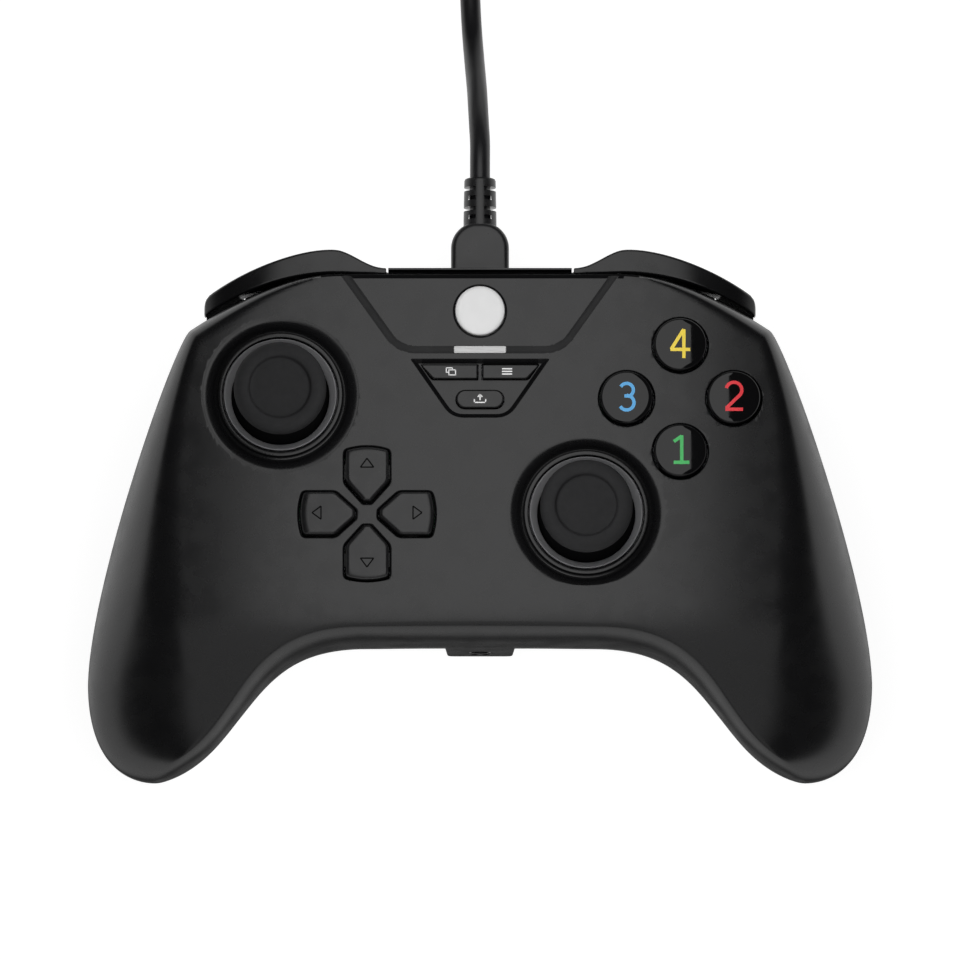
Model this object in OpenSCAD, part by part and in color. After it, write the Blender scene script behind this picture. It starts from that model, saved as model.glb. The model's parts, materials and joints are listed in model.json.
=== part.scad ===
// Gamepad controller lying face up on a table, with its lead wound in a coil beside it.
// Millimetres, +Z up, +X to the player's right, +Y away from the player.
// The origin lies on the table under the middle of the casing at its given depth.

/* [Casing] */
// Half of the width across the two grips
half_width = 77; // [75:0.5:79]
// Depth from the grip tips to the back of the bumpers
body_depth = 102.8; // [101:0.2:105]
// Height of the flat face above the table
face_z = 44; // [43:0.5:46]
// Wall thickness of both shells
wall = 2; // [1.8:0.1:2.2]
// Place of the casing's top edge along the depth
top_y = 46; // [45:0.5:47]
// How far the bumpers stand out behind the casing
bumper_reach = 5.4; // [5:0.1:6]
// Depth of the face from the top edge to the arch between the grips
face_depth = 71.7; // [71:0.1:73]
// Distance of the grip tips from the outside of the grips
tip_inset = 14; // [12:0.5:16]
// Sideways place of the shoulder corners
shoulder_x = 57; // [56:0.5:58]
// Distance of the shoulder corners from the top edge
shoulder_drop = 10.5; // [9.5:0.5:11.5]
// Half length of the straight top edge
top_run = 27; // [25:0.5:28]
// Height of the seam between the shells at the top edge
seam_top_z = 28; // [27.5:0.1:28.5]
// Height of the seam at the arch between the grips
seam_arch_z = 25; // [24:0.5:26]
// Height of the seam at the grip tips
seam_tip_z = 16; // [14:0.5:18]
// Drop of the face from its flat part to the grip tips
grip_droop = 14; // [10:0.5:16]
// Rise of the underside between the middle hump and the grips
waist_lift = 7; // [5:0.5:8]
// Roundness of the face along its top edge
top_round = 1.2; // [1:0.1:2]
// Roundness of the face along the shoulders
shoulder_round = 5; // [4:0.5:7]
// Roundness of the casing along the outside of the grips
grip_round = 25; // [20:1:28]
// Roundness of the face along the arch
arch_round = 5; // [4:0.5:6]
// Roundness of the face along the inside of the grips
grip_inner_round = 5; // [4:0.5:7]
// Roundness of the underside along the arch
arch_low_round = 9; // [7:0.5:10]
// Roundness of the underside along the inside of the grips
grip_low_round = 15; // [12:1:18]
// Roundness of the underside along the back
back_round = 7; // [5:0.5:8]

/* [Fasteners] */
// Radius of the case screws' shanks
screw_r = 1.15; // [1:0.05:1.3]
// Radius of the case screws' heads
screw_head_r = 2.4; // [2.2:0.1:2.6]
// Height of the case screws' heads
screw_head_h = 1.8; // [1.4:0.1:2.2]
// Radius of the screw bosses
boss_r = 3.2; // [3:0.1:3.6]
// Depth of the screw head seats above the underside
screw_seat = 6; // [5:0.5:7]

/* [Thumb sticks] */
// Sideways place of the left stick
left_stick_x = -39.1; // [-40:0.1:-38.5]
// Place of the left stick along the depth
left_stick_y = 21.5; // [21:0.1:22]
// Sideways place of the right stick
right_stick_x = 20.8; // [20.5:0.1:21.5]
// Place of the right stick along the depth
right_stick_y = -1.8; // [-2.2:0.1:-1.5]
// Depth of the sticks' pivots below the face
pivot_depth = 14; // [13.8:0.1:14.4]
// Radius of the stick caps
cap_r = 9.05; // [8.8:0.05:9.2]
// Height of the stick caps above the face
cap_rise = 10.3; // [10:0.1:11]
// Thickness of the stick caps at the rim
cap_thick = 4.8; // [4.4:0.1:5]
// Radius of the recessed disc in the stick caps
cap_dish_r = 5.8; // [5.5:0.1:6.2]
// Radius of the stick necks
neck_r = 3.4; // [3:0.1:3.6]
// Outer radius of the domed skirts under the face
dome_r = 13.2; // [13:0.1:13.3]
// Wall of the domed skirts
dome_wall = 1.2; // [1:0.1:1.3]
// Half angle of the domed skirts
dome_angle = 52; // [50:1:53]
// Radius of the holes in the face that hold the rings
ring_seat_r = 11.3; // [11.2:0.1:11.5]
// Inside radius of the rings at their narrow end
ring_mouth_r = 9.6; // [9.5:0.1:9.8]
// Outside radius of the moats around the rings
moat_r = 14.7; // [14.5:0.1:15]
// Depth of the moats
moat_depth = 1.8; // [1.5:0.1:2]
// Radius of the stick posts
post_r = 1.5; // [1.4:0.05:1.55]
// Depth of the stick modules below their pivots
module_depth = 9.6; // [9.4:0.1:10]
// Radius of the rocker trunnions
trunnion_r = 1.3; // [1.2:0.05:1.35]

/* [Face buttons] */
// Sideways place of the group of four
buttons_x = 39.2; // [38.8:0.1:39.6]
// Place of the group of four along the depth
buttons_y = 20.7; // [20.3:0.1:21.2]
// Distance of each button from the group's middle
buttons_pitch = 10.5; // [10.2:0.1:10.8]
// Radius of the button caps
button_r = 5.2; // [5:0.05:5.4]
// Height of the button caps above the face
button_rise = 2.3; // [2:0.1:2.6]

/* [Direction keys] */
// Sideways place of the direction pad
pad_x = -22.1; // [-22.4:0.1:-21.8]
// Place of the direction pad along the depth
pad_y = -2.2; // [-2.6:0.1:-1.8]
// Reach of the keys from the middle of the pad
key_reach = 13.1; // [12.8:0.1:13.4]
// Half width of the keys
key_half = 4.4; // [4.2:0.05:4.6]
// Distance from the middle to the start of the straight sides
key_shoulder = 6.3; // [6:0.1:6.6]
// Distance from the middle to the inner tips
key_tip = 2.4; // [2.2:0.1:2.6]
// Height of the keys above the face
key_rise = 2; // [1.6:0.1:2.4]

/* [Middle keys] */
// Place of the home button along the depth
home_y = 38; // [37.6:0.1:38.2]
// Radius of the home button
home_r = 5.1; // [4.8:0.1:5.2]
// Height of the home button above the face
home_rise = 1.5; // [1.2:0.1:2]
// Place of the light bar along the depth
bar_y = 30.4; // [30.2:0.1:30.6]
// Length of the light bar
bar_length = 10.2; // [9.5:0.1:11]
// Width of the light bar and of the groove
bar_width = 1.4; // [1.2:0.1:1.5]
// Depth of the groove beside the light bar
groove_depth = 0.5; // [0.3:0.1:0.8]
// Upper edge of the recessed panel along the depth
panel_top_y = 28.6; // [28.4:0.1:28.8]
// Height of the recessed panel along the depth
panel_height = 11.7; // [11.4:0.1:12]
// Half width of the recessed panel at its upper edge
panel_top_half = 13.7; // [13.5:0.1:14]
// Half width of the recessed panel at its lower edge
panel_low_half = 5.6; // [5.4:0.1:6]
// Depth of the recessed panel
panel_depth = 1; // [0.8:0.1:1.1]
// Place of the two slanted keys along the depth
slant_y = 26; // [25.9:0.1:26.1]
// Height of the slanted keys along the depth
slant_height = 2.7; // [2.5:0.1:2.9]
// Reach of the slanted keys at their upper edge
slant_top = 11.5; // [11.2:0.1:11.8]
// Reach of the slanted keys at their lower edge
slant_low = 9.3; // [9:0.1:9.6]
// Half gap between the slanted keys
slant_gap = 0.7; // [0.6:0.05:0.8]
// Place of the share key along the depth
share_y = 20.6; // [20.5:0.1:20.9]
// Length of the share key
share_length = 9.2; // [8.8:0.1:9.6]
// Width of the share key
share_width = 3.4; // [3.2:0.1:3.6]
// Height of the middle keys above the panel's floor
small_key_rise = 1.3; // [1:0.1:1.6]

/* [Bumpers] */
// Height of the bumpers and of the bridge between them
bumper_height = 8.5; // [8:0.1:9]
// Gap between the bumpers and the casing
bumper_gap = 1.5; // [1.4:0.1:1.7]
// Sideways place of the bumpers' inner ends
bumper_split = 18.4; // [18.2:0.1:18.8]
// Sideways place of the bumpers' outer ends
bumper_end = 54.1; // [53.5:0.1:54.5]
// Depth of the bridge behind the casing
bridge_depth = 1.7; // [1.6:0.1:2]
// Sideways place of the bumper hinges
hinge_x = 16.5; // [16.2:0.1:16.6]
// Radius of the bumper hinge pins
hinge_r = 1; // [0.9:0.05:1.05]
// Sideways place of the bumper switches
bumper_switch_x = 30; // [29:0.5:31]

/* [Triggers] */
// Sideways place of the triggers' inner edges
trigger_in = 27.6; // [27.4:0.1:28]
// Width of the trigger paddles
trigger_width = 18.4; // [18:0.1:18.8]
// Width of the trigger hubs
hub_width = 13.2; // [13:0.1:13.4]
// Radius of the trigger pins
trigger_pin_r = 1.2; // [1:0.05:1.3]
// Radius of the trigger hubs
trigger_hub_r = 2.6; // [2.5:0.1:2.8]
// Height of the trigger tips above the table
trigger_tip_z = 6.4; // [6:0.2:8]
// Depth of the trigger pivots inside the casing's top edge
trigger_pivot_in = 10.6; // [10.4:0.1:10.8]
// Depth of the trigger pivots below the seam
trigger_pivot_drop = 6; // [5.6:0.1:6.2]

/* [Boards] */
// Thickness of both circuit boards
board_thick = 1.6; // [1.4:0.1:1.8]
// Depth of the button board's upper side below the face
button_board_depth = 8; // [7.8:0.1:8.2]
// Thickness of the rubber dome sheets
sheet_thick = 0.8; // [0.6:0.1:1]
// Radius of the headset jack's bore
jack_bore_r = 1.8; // [1.75:0.01:1.85]
// Length of the headset jack's bore
jack_bore_length = 13; // [12:0.5:13.5]
// Height of the headset jack's body
jack_height = 5.6; // [5.4:0.1:6]
// Height of the USB port
port_height = 3.3; // [3.2:0.1:3.4]
// Width of the USB port
port_width = 9.2; // [9:0.1:9.6]

/* [Motors] */
// Radius of the rumble motor cans
motor_r = 8.5; // [8:0.1:8.8]
// Length of the rumble motor cans
motor_length = 16; // [14:0.5:16.5]
// Distance of the rumble motors from the outside of the grips
motor_inset = 16; // [15.5:0.1:16.5]
// Height of the rumble motors
motor_z = 18; // [17.6:0.1:18.4]
// Radius of the off-centre weights
weight_r = 8; // [7:0.1:8.4]
// Length of the off-centre weights
weight_length = 6; // [5:0.5:6.5]

/* [Lead] */
// Diameter of the lead
lead_d = 4; // [3.9:0.05:4.05]
// Width of the plug housing
plug_width = 11.4; // [11:0.1:12]
// Thickness of the plug housing
plug_thick = 7; // [6.6:0.1:7.2]
// Length of the plug housing outside the casing
plug_length = 10.8; // [10.8:0.1:10.9]
// Diameter of the strain relief
relief_d = 6.1; // [5.6:0.1:6.6]
// Number of turns in the coil
coil_turns = 17.75; // [17.75]
// Outer radius of the coil, at the middle of the lead
coil_out_r = 35.3; // [35.3]
// Step of the coil from one turn to the next
coil_pitch = 4.5; // [4.5:0.05:4.6]
// Width of the USB plug's grip at the far end
usb_width = 15.7; // [14:0.1:16]
// Thickness of the USB plug's grip
usb_thick = 8; // [8]
// Length of the USB plug's grip
usb_length = 30; // [26:1:34]

/* [Clearances] */
// Gap around caps and keys in their holes
cap_gap = 0.25; // [0.2:0.05:0.3]
// Running gap of pins and shafts in their bores
pin_gap = 0.05; // [0.04:0.01:0.08]
// Gap between parts that sit on each other without a fit
seat_gap = 0.3; // [0.25:0.05:0.35]
// Gap between the two shells along the seam
seam_gap = 0.1; // [0.08:0.01:0.15]

/* [Hidden] */
$fn = 48;

back_y = top_y + bumper_reach;
front_y = back_y - body_depth;
arch_y = top_y - face_depth;
shoulder_y = top_y - shoulder_drop;
tip_x = half_width - tip_inset;
motor_x = half_width - motor_inset;
inside_z = face_z - wall;
left_stick = [left_stick_x, left_stick_y];
right_stick = [right_stick_x, right_stick_y];
sticks = [left_stick, right_stick];

// General curves and shapes
function smooth(x) = let (c = max(0, min(1, x))) c * c * (3 - 2 * c);
function blend(a, b, t) = a + (b - a) * t;
function bezier(p, t) =
    pow(1 - t, 3) * p[0] + 3 * pow(1 - t, 2) * t * p[1] + 3 * (1 - t) * t * t * p[2] + pow(t, 3) * p[3];
function bezier_points(p, n) = [for (i = [0:n]) bezier(p, i / n)];
function along(chain, u) = let (k = min(len(chain) - 1, floor(u))) bezier(chain[k], u - k);
function arc(r, from, to, n) = [for (i = [0:n]) let (a = blend(from, to, i / n)) r * [cos(a), sin(a)]];
function shift(points, by) = [for (p = points) p + by];
function flip(points) = [for (i = [len(points) - 1:-1:0]) points[i]];

// Outline of the casing at the seam, from the middle of the top edge and of the arch out to the grip tip
grip_y = front_y + 19.4;
outer_curve = [
    [[0, top_y], [top_run / 3, top_y], [top_run * 2 / 3, top_y], [top_run, top_y]],
    [[top_run, top_y], [top_run + 11, top_y], [shoulder_x - 9, shoulder_y + 6], [shoulder_x, shoulder_y]],
    [[shoulder_x, shoulder_y], [shoulder_x + 3, shoulder_y - 2], [half_width - 0.5, grip_y + 20],
        [half_width, grip_y]],
    [[half_width, grip_y], [half_width, grip_y - 12], [tip_x + 9.5, front_y], [tip_x, front_y]]
];
arch_run = 22;
grip_root_x = tip_x - 16.5;
grip_root_y = blend(arch_y, front_y, 0.48);
inner_curve = [
    [[0, arch_y], [3, arch_y], [7, arch_y], [10, arch_y]],
    [[10, arch_y], [14, arch_y], [18, arch_y], [arch_run, arch_y]],
    [[arch_run, arch_y], [arch_run + 14, arch_y], [grip_root_x - 5.5, blend(arch_y, grip_root_y, 0.43)],
        [grip_root_x, grip_root_y]],
    [[grip_root_x, grip_root_y], [grip_root_x + 4, blend(grip_root_y, front_y, 0.37)],
        [tip_x - 9, front_y + 2.9], [tip_x, front_y]]
];

// Place on the outer curve with a given sideways distance
function place_at(x, low = 1, high = 2, tries = 16) =
    let (mid = (low + high) / 2)
    tries == 0 ? mid :
    along(outer_curve, mid)[0] < x ? place_at(x, mid, high, tries - 1) : place_at(x, low, mid, tries - 1);

// Ribs run across the casing from the outer curve to the inner one. u counts the curve's stretches.
rib_counts = [2, 6, 8, 10];
tip_end = 0.97;
hollow_end = 0.8;
rib_stations = concat([0], [for (k = [0:3]) for (i = [1:rib_counts[k]])
    k + i / rib_counts[k] * (k == 3 ? tip_end : 1)]);
rib_last = len(rib_stations) - 1;
across = 12;
function level(values, u) = let (k = min(len(values) - 2, floor(u))) blend(values[k], values[k + 1], smooth(u - k));
function edge_round(d, width) = d >= width ? 1 : sqrt(1 - pow(1 - max(d, 0) / width, 2));
function edge_square(d, width) = d >= width ? 1 : pow(1 - pow(1 - max(d, 0) / width, 3), 1 / 3);
droop_start = -14;
function face_height(p) = face_z - grip_droop * smooth((droop_start - p[1]) / (droop_start - front_y));
function hump(p) = smooth(1 - (abs(p[0]) - 16) / 16) * smooth((p[1] + 8) / 16);
function grip(p) = smooth((-p[1] - 6) / 20) * smooth((abs(p[0]) - 34) / 14);
function underside(p) = waist_lift * (1 - max(hump(p), grip(p)));
outer_seam = [seam_top_z, seam_top_z, seam_top_z - 1, blend(seam_top_z, seam_tip_z, 0.85), seam_tip_z];
inner_seam = [seam_arch_z, seam_arch_z, seam_arch_z - 1, blend(seam_arch_z, seam_tip_z, 0.75), seam_tip_z];
top_widths = [top_round, top_round, shoulder_round, grip_round, grip_round];
low_widths = [back_round, back_round, back_round * 2, grip_round, grip_round];
inner_widths = [arch_round, arch_round, arch_round, grip_inner_round, grip_inner_round];
inner_low_widths = [arch_low_round, arch_low_round, arch_low_round + 1, grip_low_round, grip_low_round];

// A point of the upper skin (side 1) or the lower one (side -1), set in from the outer skin by "deep"
function skin_point(i, j, side, deep) =
    let (
        mark = rib_stations[abs(i)],
        u = deep > 0 && mark > 3 ? 3 + (mark - 3) * hollow_end / tip_end : mark,
        o = along(outer_curve, u),
        n = along(inner_curve, u),
        dir = (n - o) / norm(n - o),
        a = o + dir * deep * 1.25,
        b = n - dir * deep * 1.25,
        s = (1 - cos(180 * j / across)) / 2,
        p = blend(a, b, s),
        run = norm(b - a),
        top_width = level(top_widths, u),
        outer_edge = side > 0 ? blend(edge_square(s * run, top_width), edge_round(s * run, top_width), smooth(u - 2))
            : edge_round(s * run, level(low_widths, u)),
        inner_edge = side > 0 ? edge_square((1 - s) * run, level(inner_widths, u))
            : edge_round((1 - s) * run, level(inner_low_widths, u)),
        seam = blend(level(outer_seam, u), level(inner_seam, u), s) + side * seam_gap / 2,
        far = side > 0 ? face_height(p) - deep : underside(p) + deep
    )
    [i < 0 ? -p[0] : p[0], p[1], blend(seam, far, outer_edge * inner_edge)];

// One half of the casing: an outer skin, an inner skin and the rim between them
module shell(side) {
    ribs = [-rib_last:rib_last];
    points = [for (deep = [0, wall]) for (i = ribs) for (j = [0:across]) skin_point(i, j, side, deep)];
    inner = (2 * rib_last + 1) * (across + 1);
    function at(i, j) = (i + rib_last) * (across + 1) + j;
    function quad(a, b, c, d) = [[a, b, c], [a, c, d]];
    last = rib_last;
    faces = concat(
        [for (i = [-last:last - 1]) for (j = [0:across - 1])
            each quad(at(i, j), at(i + 1, j), at(i + 1, j + 1), at(i, j + 1))],
        [for (i = [-last:last - 1]) for (j = [0:across - 1])
            each quad(inner + at(i, j), inner + at(i, j + 1), inner + at(i + 1, j + 1), inner + at(i + 1, j))],
        [for (i = [-last:last - 1])
            each quad(at(i, 0), inner + at(i, 0), inner + at(i + 1, 0), at(i + 1, 0))],
        [for (i = [-last:last - 1])
            each quad(inner + at(i, across), at(i, across), at(i + 1, across), inner + at(i + 1, across))],
        [[for (j = [across:-1:0]) at(last, j)]],
        [[for (j = [0:across]) inner + at(last, j)]],
        [[for (j = [0:across]) at(-last, j)]],
        [[for (j = [across:-1:0]) inner + at(-last, j)]],
        quad(at(last, across), at(last, 0), inner + at(last, 0), inner + at(last, across)),
        quad(at(-last, 0), at(-last, across), inner + at(-last, across), inner + at(-last, 0))
    );
    polyhedron(points, side > 0 ? faces : [for (f = faces) flip(f)], convexity = 8);
}

// Drawing helpers
module rod(r, from, to) translate([0, 0, from]) cylinder(r = r, h = to - from);
module rod_x(r, from, to) rotate([0, 90, 0]) rod(r, from, to);
module rod_y(r, from, to) rotate([-90, 0, 0]) rod(r, from, to);
module block(low, high) translate(low) cube(high - low);
module plate(points, from, to) translate([0, 0, from]) linear_extrude(to - from) polygon(points);
module both_sides() {
    children();
    mirror([1, 0, 0]) children();
}
module at_stick(place) translate([place[0], place[1], face_z - pivot_depth]) children();

// A round tube of a given number of sides along a path
function heading(path, i) =
    let (d = path[min(len(path) - 1, i + 1)] - path[max(0, i - 1)]) d / norm(d);
module tube(path, r, sides, up) {
    rings = len(path);
    points = [for (i = [0:rings - 1])
        let (t = heading(path, i), flat = cross(t, up), x = flat / norm(flat), y = cross(x, t))
        for (k = [0:sides - 1]) path[i] + r * (cos(360 * k / sides) * x + sin(360 * k / sides) * y)];
    function at(i, k) = i * sides + k % sides;
    faces = concat(
        [[for (k = [sides - 1:-1:0]) k]],
        [for (i = [0:rings - 2]) for (k = [0:sides - 1])
            each [[at(i, k), at(i, k + 1), at(i + 1, k + 1)], [at(i, k), at(i + 1, k + 1), at(i + 1, k)]]],
        [[for (k = [0:sides - 1]) at(rings - 1, k)]]
    );
    polyhedron(points, faces);
}

// Heights that several parts share
key_base_z = face_z - 4;
flange_top_z = inside_z - seat_gap;
plunger_z = key_base_z - 0.5;
dome_top_z = plunger_z - seat_gap;
button_board_z = face_z - button_board_depth;
module_base_z = face_z - pivot_depth - module_depth;
main_board_z = module_base_z - board_thick;
port_z = module_base_z + port_height / 2;
jack_z = main_board_z - jack_height / 2;
boss_split_z = 24;
motor_back_y = front_y + 36.9;

// Case screws: two by the top edge, one in the middle and one at the root of each grip
board_screws = [[16, top_y - 10], [-16, top_y - 10], [0, top_y - 36]];
grip_screw = [motor_x - 11, motor_back_y + 6.5];
screw_places = concat(board_screws, [grip_screw, [-grip_screw[0], grip_screw[1]]]);
standoff_places = [[44, top_y - 38], [-44, top_y - 38]];
boss_shoulder_r = boss_r + 1.8;
screw_hole_r = screw_r + pin_gap;
screw_top_z = boss_split_z + 9;
function seat_z(p) = underside(p) + screw_seat;
module at_screws() for (p = screw_places) translate([p[0], p[1], 0]) children();

module front_bosses() at_screws() {
    rod(boss_r, boss_split_z + seat_gap, inside_z + wall / 2);
    rod(boss_shoulder_r, button_board_z, inside_z + wall / 2);
}
module rear_bosses() {
    for (p = screw_places) translate([p[0], p[1], 0]) rod(boss_r, underside(p) + wall / 2, boss_split_z);
    for (p = board_screws) translate([p[0], p[1], 0])
        rod(boss_shoulder_r, underside(p) + wall + 0.5, main_board_z);
    for (p = standoff_places) translate([p[0], p[1], 0]) rod(boss_r, underside(p) + wall / 2, main_board_z);
}

// Openings in the face
collar_r = ring_seat_r + 0.9;
collar_low_z = inside_z - 1.2;
ring_flange_r = collar_r + 0.3;
ring_flange_z = collar_low_z - 0.8;
module stick_collars() for (p = sticks) translate([p[0], p[1], 0]) rod(moat_r + 0.4, collar_low_z, inside_z + 0.1);
module stick_openings() for (p = sticks) translate([p[0], p[1], 0]) {
    rod(ring_seat_r, collar_low_z - 1, face_z + 1);
    rod(ring_flange_r + seat_gap, ring_flange_z - 3, collar_low_z);
    difference() {
        translate([0, 0, face_z - moat_depth])
            cylinder(r1 = moat_r - moat_depth, r2 = moat_r + 1, h = moat_depth + 1);
        rod(collar_r, face_z - moat_depth - 1, face_z - seat_gap);
    }
}
button_angles = [270, 0, 180, 90];
function button_place(a) = [buttons_x, buttons_y] + buttons_pitch * [cos(a), sin(a)];
key_angles = [90, 0, 270, 180];
function key_outline(grow) =
    let (reach = key_reach + grow, half = key_half + grow, lean = asin(half / reach))
    concat(
        arc(reach, -lean, lean, 6),
        [[key_shoulder - grow / 2, half], [key_tip - grow, 0.7 + grow / 2],
            [key_tip - grow, -0.7 - grow / 2], [key_shoulder - grow / 2, -half]]
    );
function slant_outline(out, tall) =
    let (up = slant_height / 2 + tall, top = slant_top + out, low = slant_low + out)
    [[slant_gap - cap_gap, up], [top, up], [low, -up], [slant_gap - cap_gap, -up]];
slant_key = [[slant_gap, slant_height / 2], [slant_top, slant_height / 2],
    [slant_low, -slant_height / 2], [slant_gap, -slant_height / 2]];
function stadium(length, width) =
    let (r = width / 2, half = length / 2 - r)
    concat(shift(arc(r, -90, 90, 8), [half, 0]), shift(arc(r, 90, 270, 8), [-half, 0]));
panel_low_y = panel_top_y - panel_height;
panel_outline = [[-panel_top_half, panel_top_y], [panel_top_half, panel_top_y],
    [panel_low_half, panel_low_y], [-panel_low_half, panel_low_y]];
groove_r = 6;
groove_top = [27, top_y];
groove_knee = [15.9, bar_y];
groove_lean = atan2(groove_top[1] - groove_knee[1], groove_top[0] - groove_knee[0]);
groove_end = groove_knee + (norm(groove_top - groove_knee) + 2) * [cos(groove_lean), sin(groove_lean)];
groove_side = bar_width / 2 * [sin(groove_lean), -cos(groove_lean)];
groove_centre = groove_knee + groove_r * [-tan(groove_lean / 2), 1];
groove_outline = concat(
    [groove_end + groove_side],
    shift(arc(groove_r + bar_width / 2, groove_lean - 90, -90, 8), groove_centre),
    [[-1, bar_y - bar_width / 2], [-1, bar_y + bar_width / 2]],
    shift(arc(groove_r - bar_width / 2, -90, groove_lean - 90, 8), groove_centre),
    [groove_end - groove_side]
);
module groove() both_sides() plate(groove_outline, face_z - groove_depth, face_z + 1);

// Places that the bridge and the bumpers share with the front shell
bumper_z = seam_top_z + seat_gap;
bumper_top_z = bumper_z + bumper_height;
hinge_y = top_y - 1.4;
peg_r = 1.5;
peg_x = 9;
bridge_mid_z = bumper_z + bumper_height / 2;
bumper_post_r = 1.4;
bumper_post_z = bumper_z + 3.3;
window_low = [hinge_x - 2.3, top_y - 3.2, bumper_z + 1.2];
window_high = [hinge_x + 6, top_y + 1, bumper_top_z - 1.2];

module front_shell() color("#3b3b3d") difference() {
    union() {
        shell(1);
        stick_collars();
        front_bosses();
    }
    stick_openings();
    for (a = button_angles) translate(button_place(a)) rod(button_r + cap_gap, inside_z - 8, face_z + 9);
    translate([pad_x, pad_y, 0]) for (a = key_angles) rotate(a)
        plate(key_outline(cap_gap), inside_z - 1, face_z + 1);
    translate([0, home_y, 0]) rod(home_r + cap_gap, key_base_z - 1, face_z + 1);
    plate(panel_outline, face_z - panel_depth, face_z + 1);
    both_sides() translate([0, slant_y, 0]) plate(slant_outline(cap_gap, cap_gap), inside_z - 1, face_z);
    translate([0, share_y, 0])
        plate(stadium(share_length + 2 * cap_gap, share_width + 2 * cap_gap), inside_z - 1, face_z);
    groove();
    translate([0, bar_y, 0]) block([-bar_length / 2 - pin_gap, -bar_width / 2 - pin_gap, inside_z - 1],
        [bar_length / 2 + pin_gap, bar_width / 2 + pin_gap, face_z + 1]);
    both_sides() {
        translate([peg_x, 0, bridge_mid_z]) rod_y(peg_r + pin_gap, top_y - 5, top_y + 1);
        block(window_low, window_high);
        translate([bumper_switch_x, 0, bumper_post_z]) rod_y(bumper_post_r + 0.8, top_y - 5, top_y + 1);
    }
    at_screws() rod(screw_hole_r, boss_split_z - 1, screw_top_z + 2);
}

// Rear shell with screw seats, trigger windows and ears, motor cradles, and openings for the plug and the jack
trigger_out = trigger_in + trigger_width;
trigger_pivot_y = top_y - trigger_pivot_in;
trigger_pivot_z = seam_top_z - trigger_pivot_drop;
ear_thick = 2;
ear_reach = trigger_hub_r + 0.1;
ear_in = trigger_in - seat_gap - 0.4;
ear_out = trigger_in + hub_width + seat_gap;
window_y = trigger_pivot_y + ear_reach + 0.4;
cradle_feet = [[motor_back_y - 3, 4.3], [motor_back_y - 13.5, 1.9]];
jack_face_y = arch_y;
jack_nose_r = jack_bore_r + 0.5;
jack_half = 3.2;
surround_top = 7;
surround_low = 5.2;
surround_high_z = seam_arch_z - 0.2;
surround_low_z = jack_z - 4.6;
surround_deep = 3;
module trigger_ear(x, foot_z) difference() {
    union() {
        block([x, trigger_pivot_y - ear_reach, foot_z], [x + ear_thick, trigger_pivot_y + ear_reach, trigger_pivot_z]);
        translate([0, trigger_pivot_y, trigger_pivot_z]) rod_x(ear_reach, x, x + ear_thick);
    }
    translate([0, trigger_pivot_y, trigger_pivot_z]) rod_x(trigger_pin_r + pin_gap, x - 1, x + ear_thick + 1);
}
module motor_cradle() difference() {
    for (foot = cradle_feet) translate([motor_x, foot[0], 0])
        block([-4, -1, foot[1]], [0, 1, motor_z - motor_r + 1.4]);
    translate([motor_x, 0, motor_z]) rod_y(motor_r + pin_gap, motor_back_y - motor_length, motor_back_y);
}
// Shelves that close the gap under the bumpers on both sides of the triggers
shelf_thick = 2;
shelf_reach = 2.2;
shelf_from = place_at(trigger_out + 0.6);
shelf_to = place_at(bumper_end - 0.4);
shelf_line = [for (i = [0:4]) along(outer_curve, blend(shelf_from, shelf_to, i / 4))];
shelf_outline = concat(shift(shelf_line, [0, shelf_reach]), flip(shift(shelf_line, [0, -wall / 2])));
module bumper_shelves() {
    high = seam_top_z - 0.4;
    low = seam_top_z - 1.4;
    block([bumper_split - 1.5, top_y - wall / 2, high - shelf_thick], [trigger_in - 0.6, top_y + shelf_reach, high]);
    plate(shelf_outline, low - shelf_thick, low);
}
module rear_shell() color("#323234") difference() {
    union() {
        difference() {
            shell(-1);
            both_sides() block([trigger_in - 0.5, window_y, 3],
                [trigger_out + 0.5, back_y + 2, seam_top_z - 1.4]);
        }
        rear_bosses();
        both_sides() {
            trigger_ear(ear_in - ear_thick, underside([ear_in, trigger_pivot_y]) + wall / 2);
            trigger_ear(ear_out, underside([ear_out, trigger_pivot_y]) + wall * 2);
            motor_cradle();
            bumper_shelves();
        }
        translate([0, jack_face_y + surround_deep, 0]) rotate([90, 0, 0]) linear_extrude(surround_deep)
            polygon([[-surround_top, surround_high_z], [surround_top, surround_high_z],
                [surround_low, surround_low_z], [-surround_low, surround_low_z]]);
    }
    for (p = screw_places) translate([p[0], p[1], 0]) {
        rod(screw_hole_r, 0, boss_split_z + 1);
        rod(screw_head_r + cap_gap, -1, seat_z(p));
    }
    block([-plug_width / 2 - seat_gap, top_y - 6, port_z - plug_thick / 2 - seat_gap],
        [plug_width / 2 + seat_gap, top_y + 2, port_z + plug_thick / 2 + seat_gap]);
    translate([0, 0, jack_z]) rod_y(jack_nose_r + pin_gap, jack_face_y - 1, jack_face_y + surround_deep + 2);
    block([-jack_half - seat_gap, jack_face_y + surround_deep, main_board_z - jack_height - seat_gap],
        [jack_half + seat_gap, jack_face_y + surround_deep + jack_bore_length, main_board_z]);
}

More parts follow.
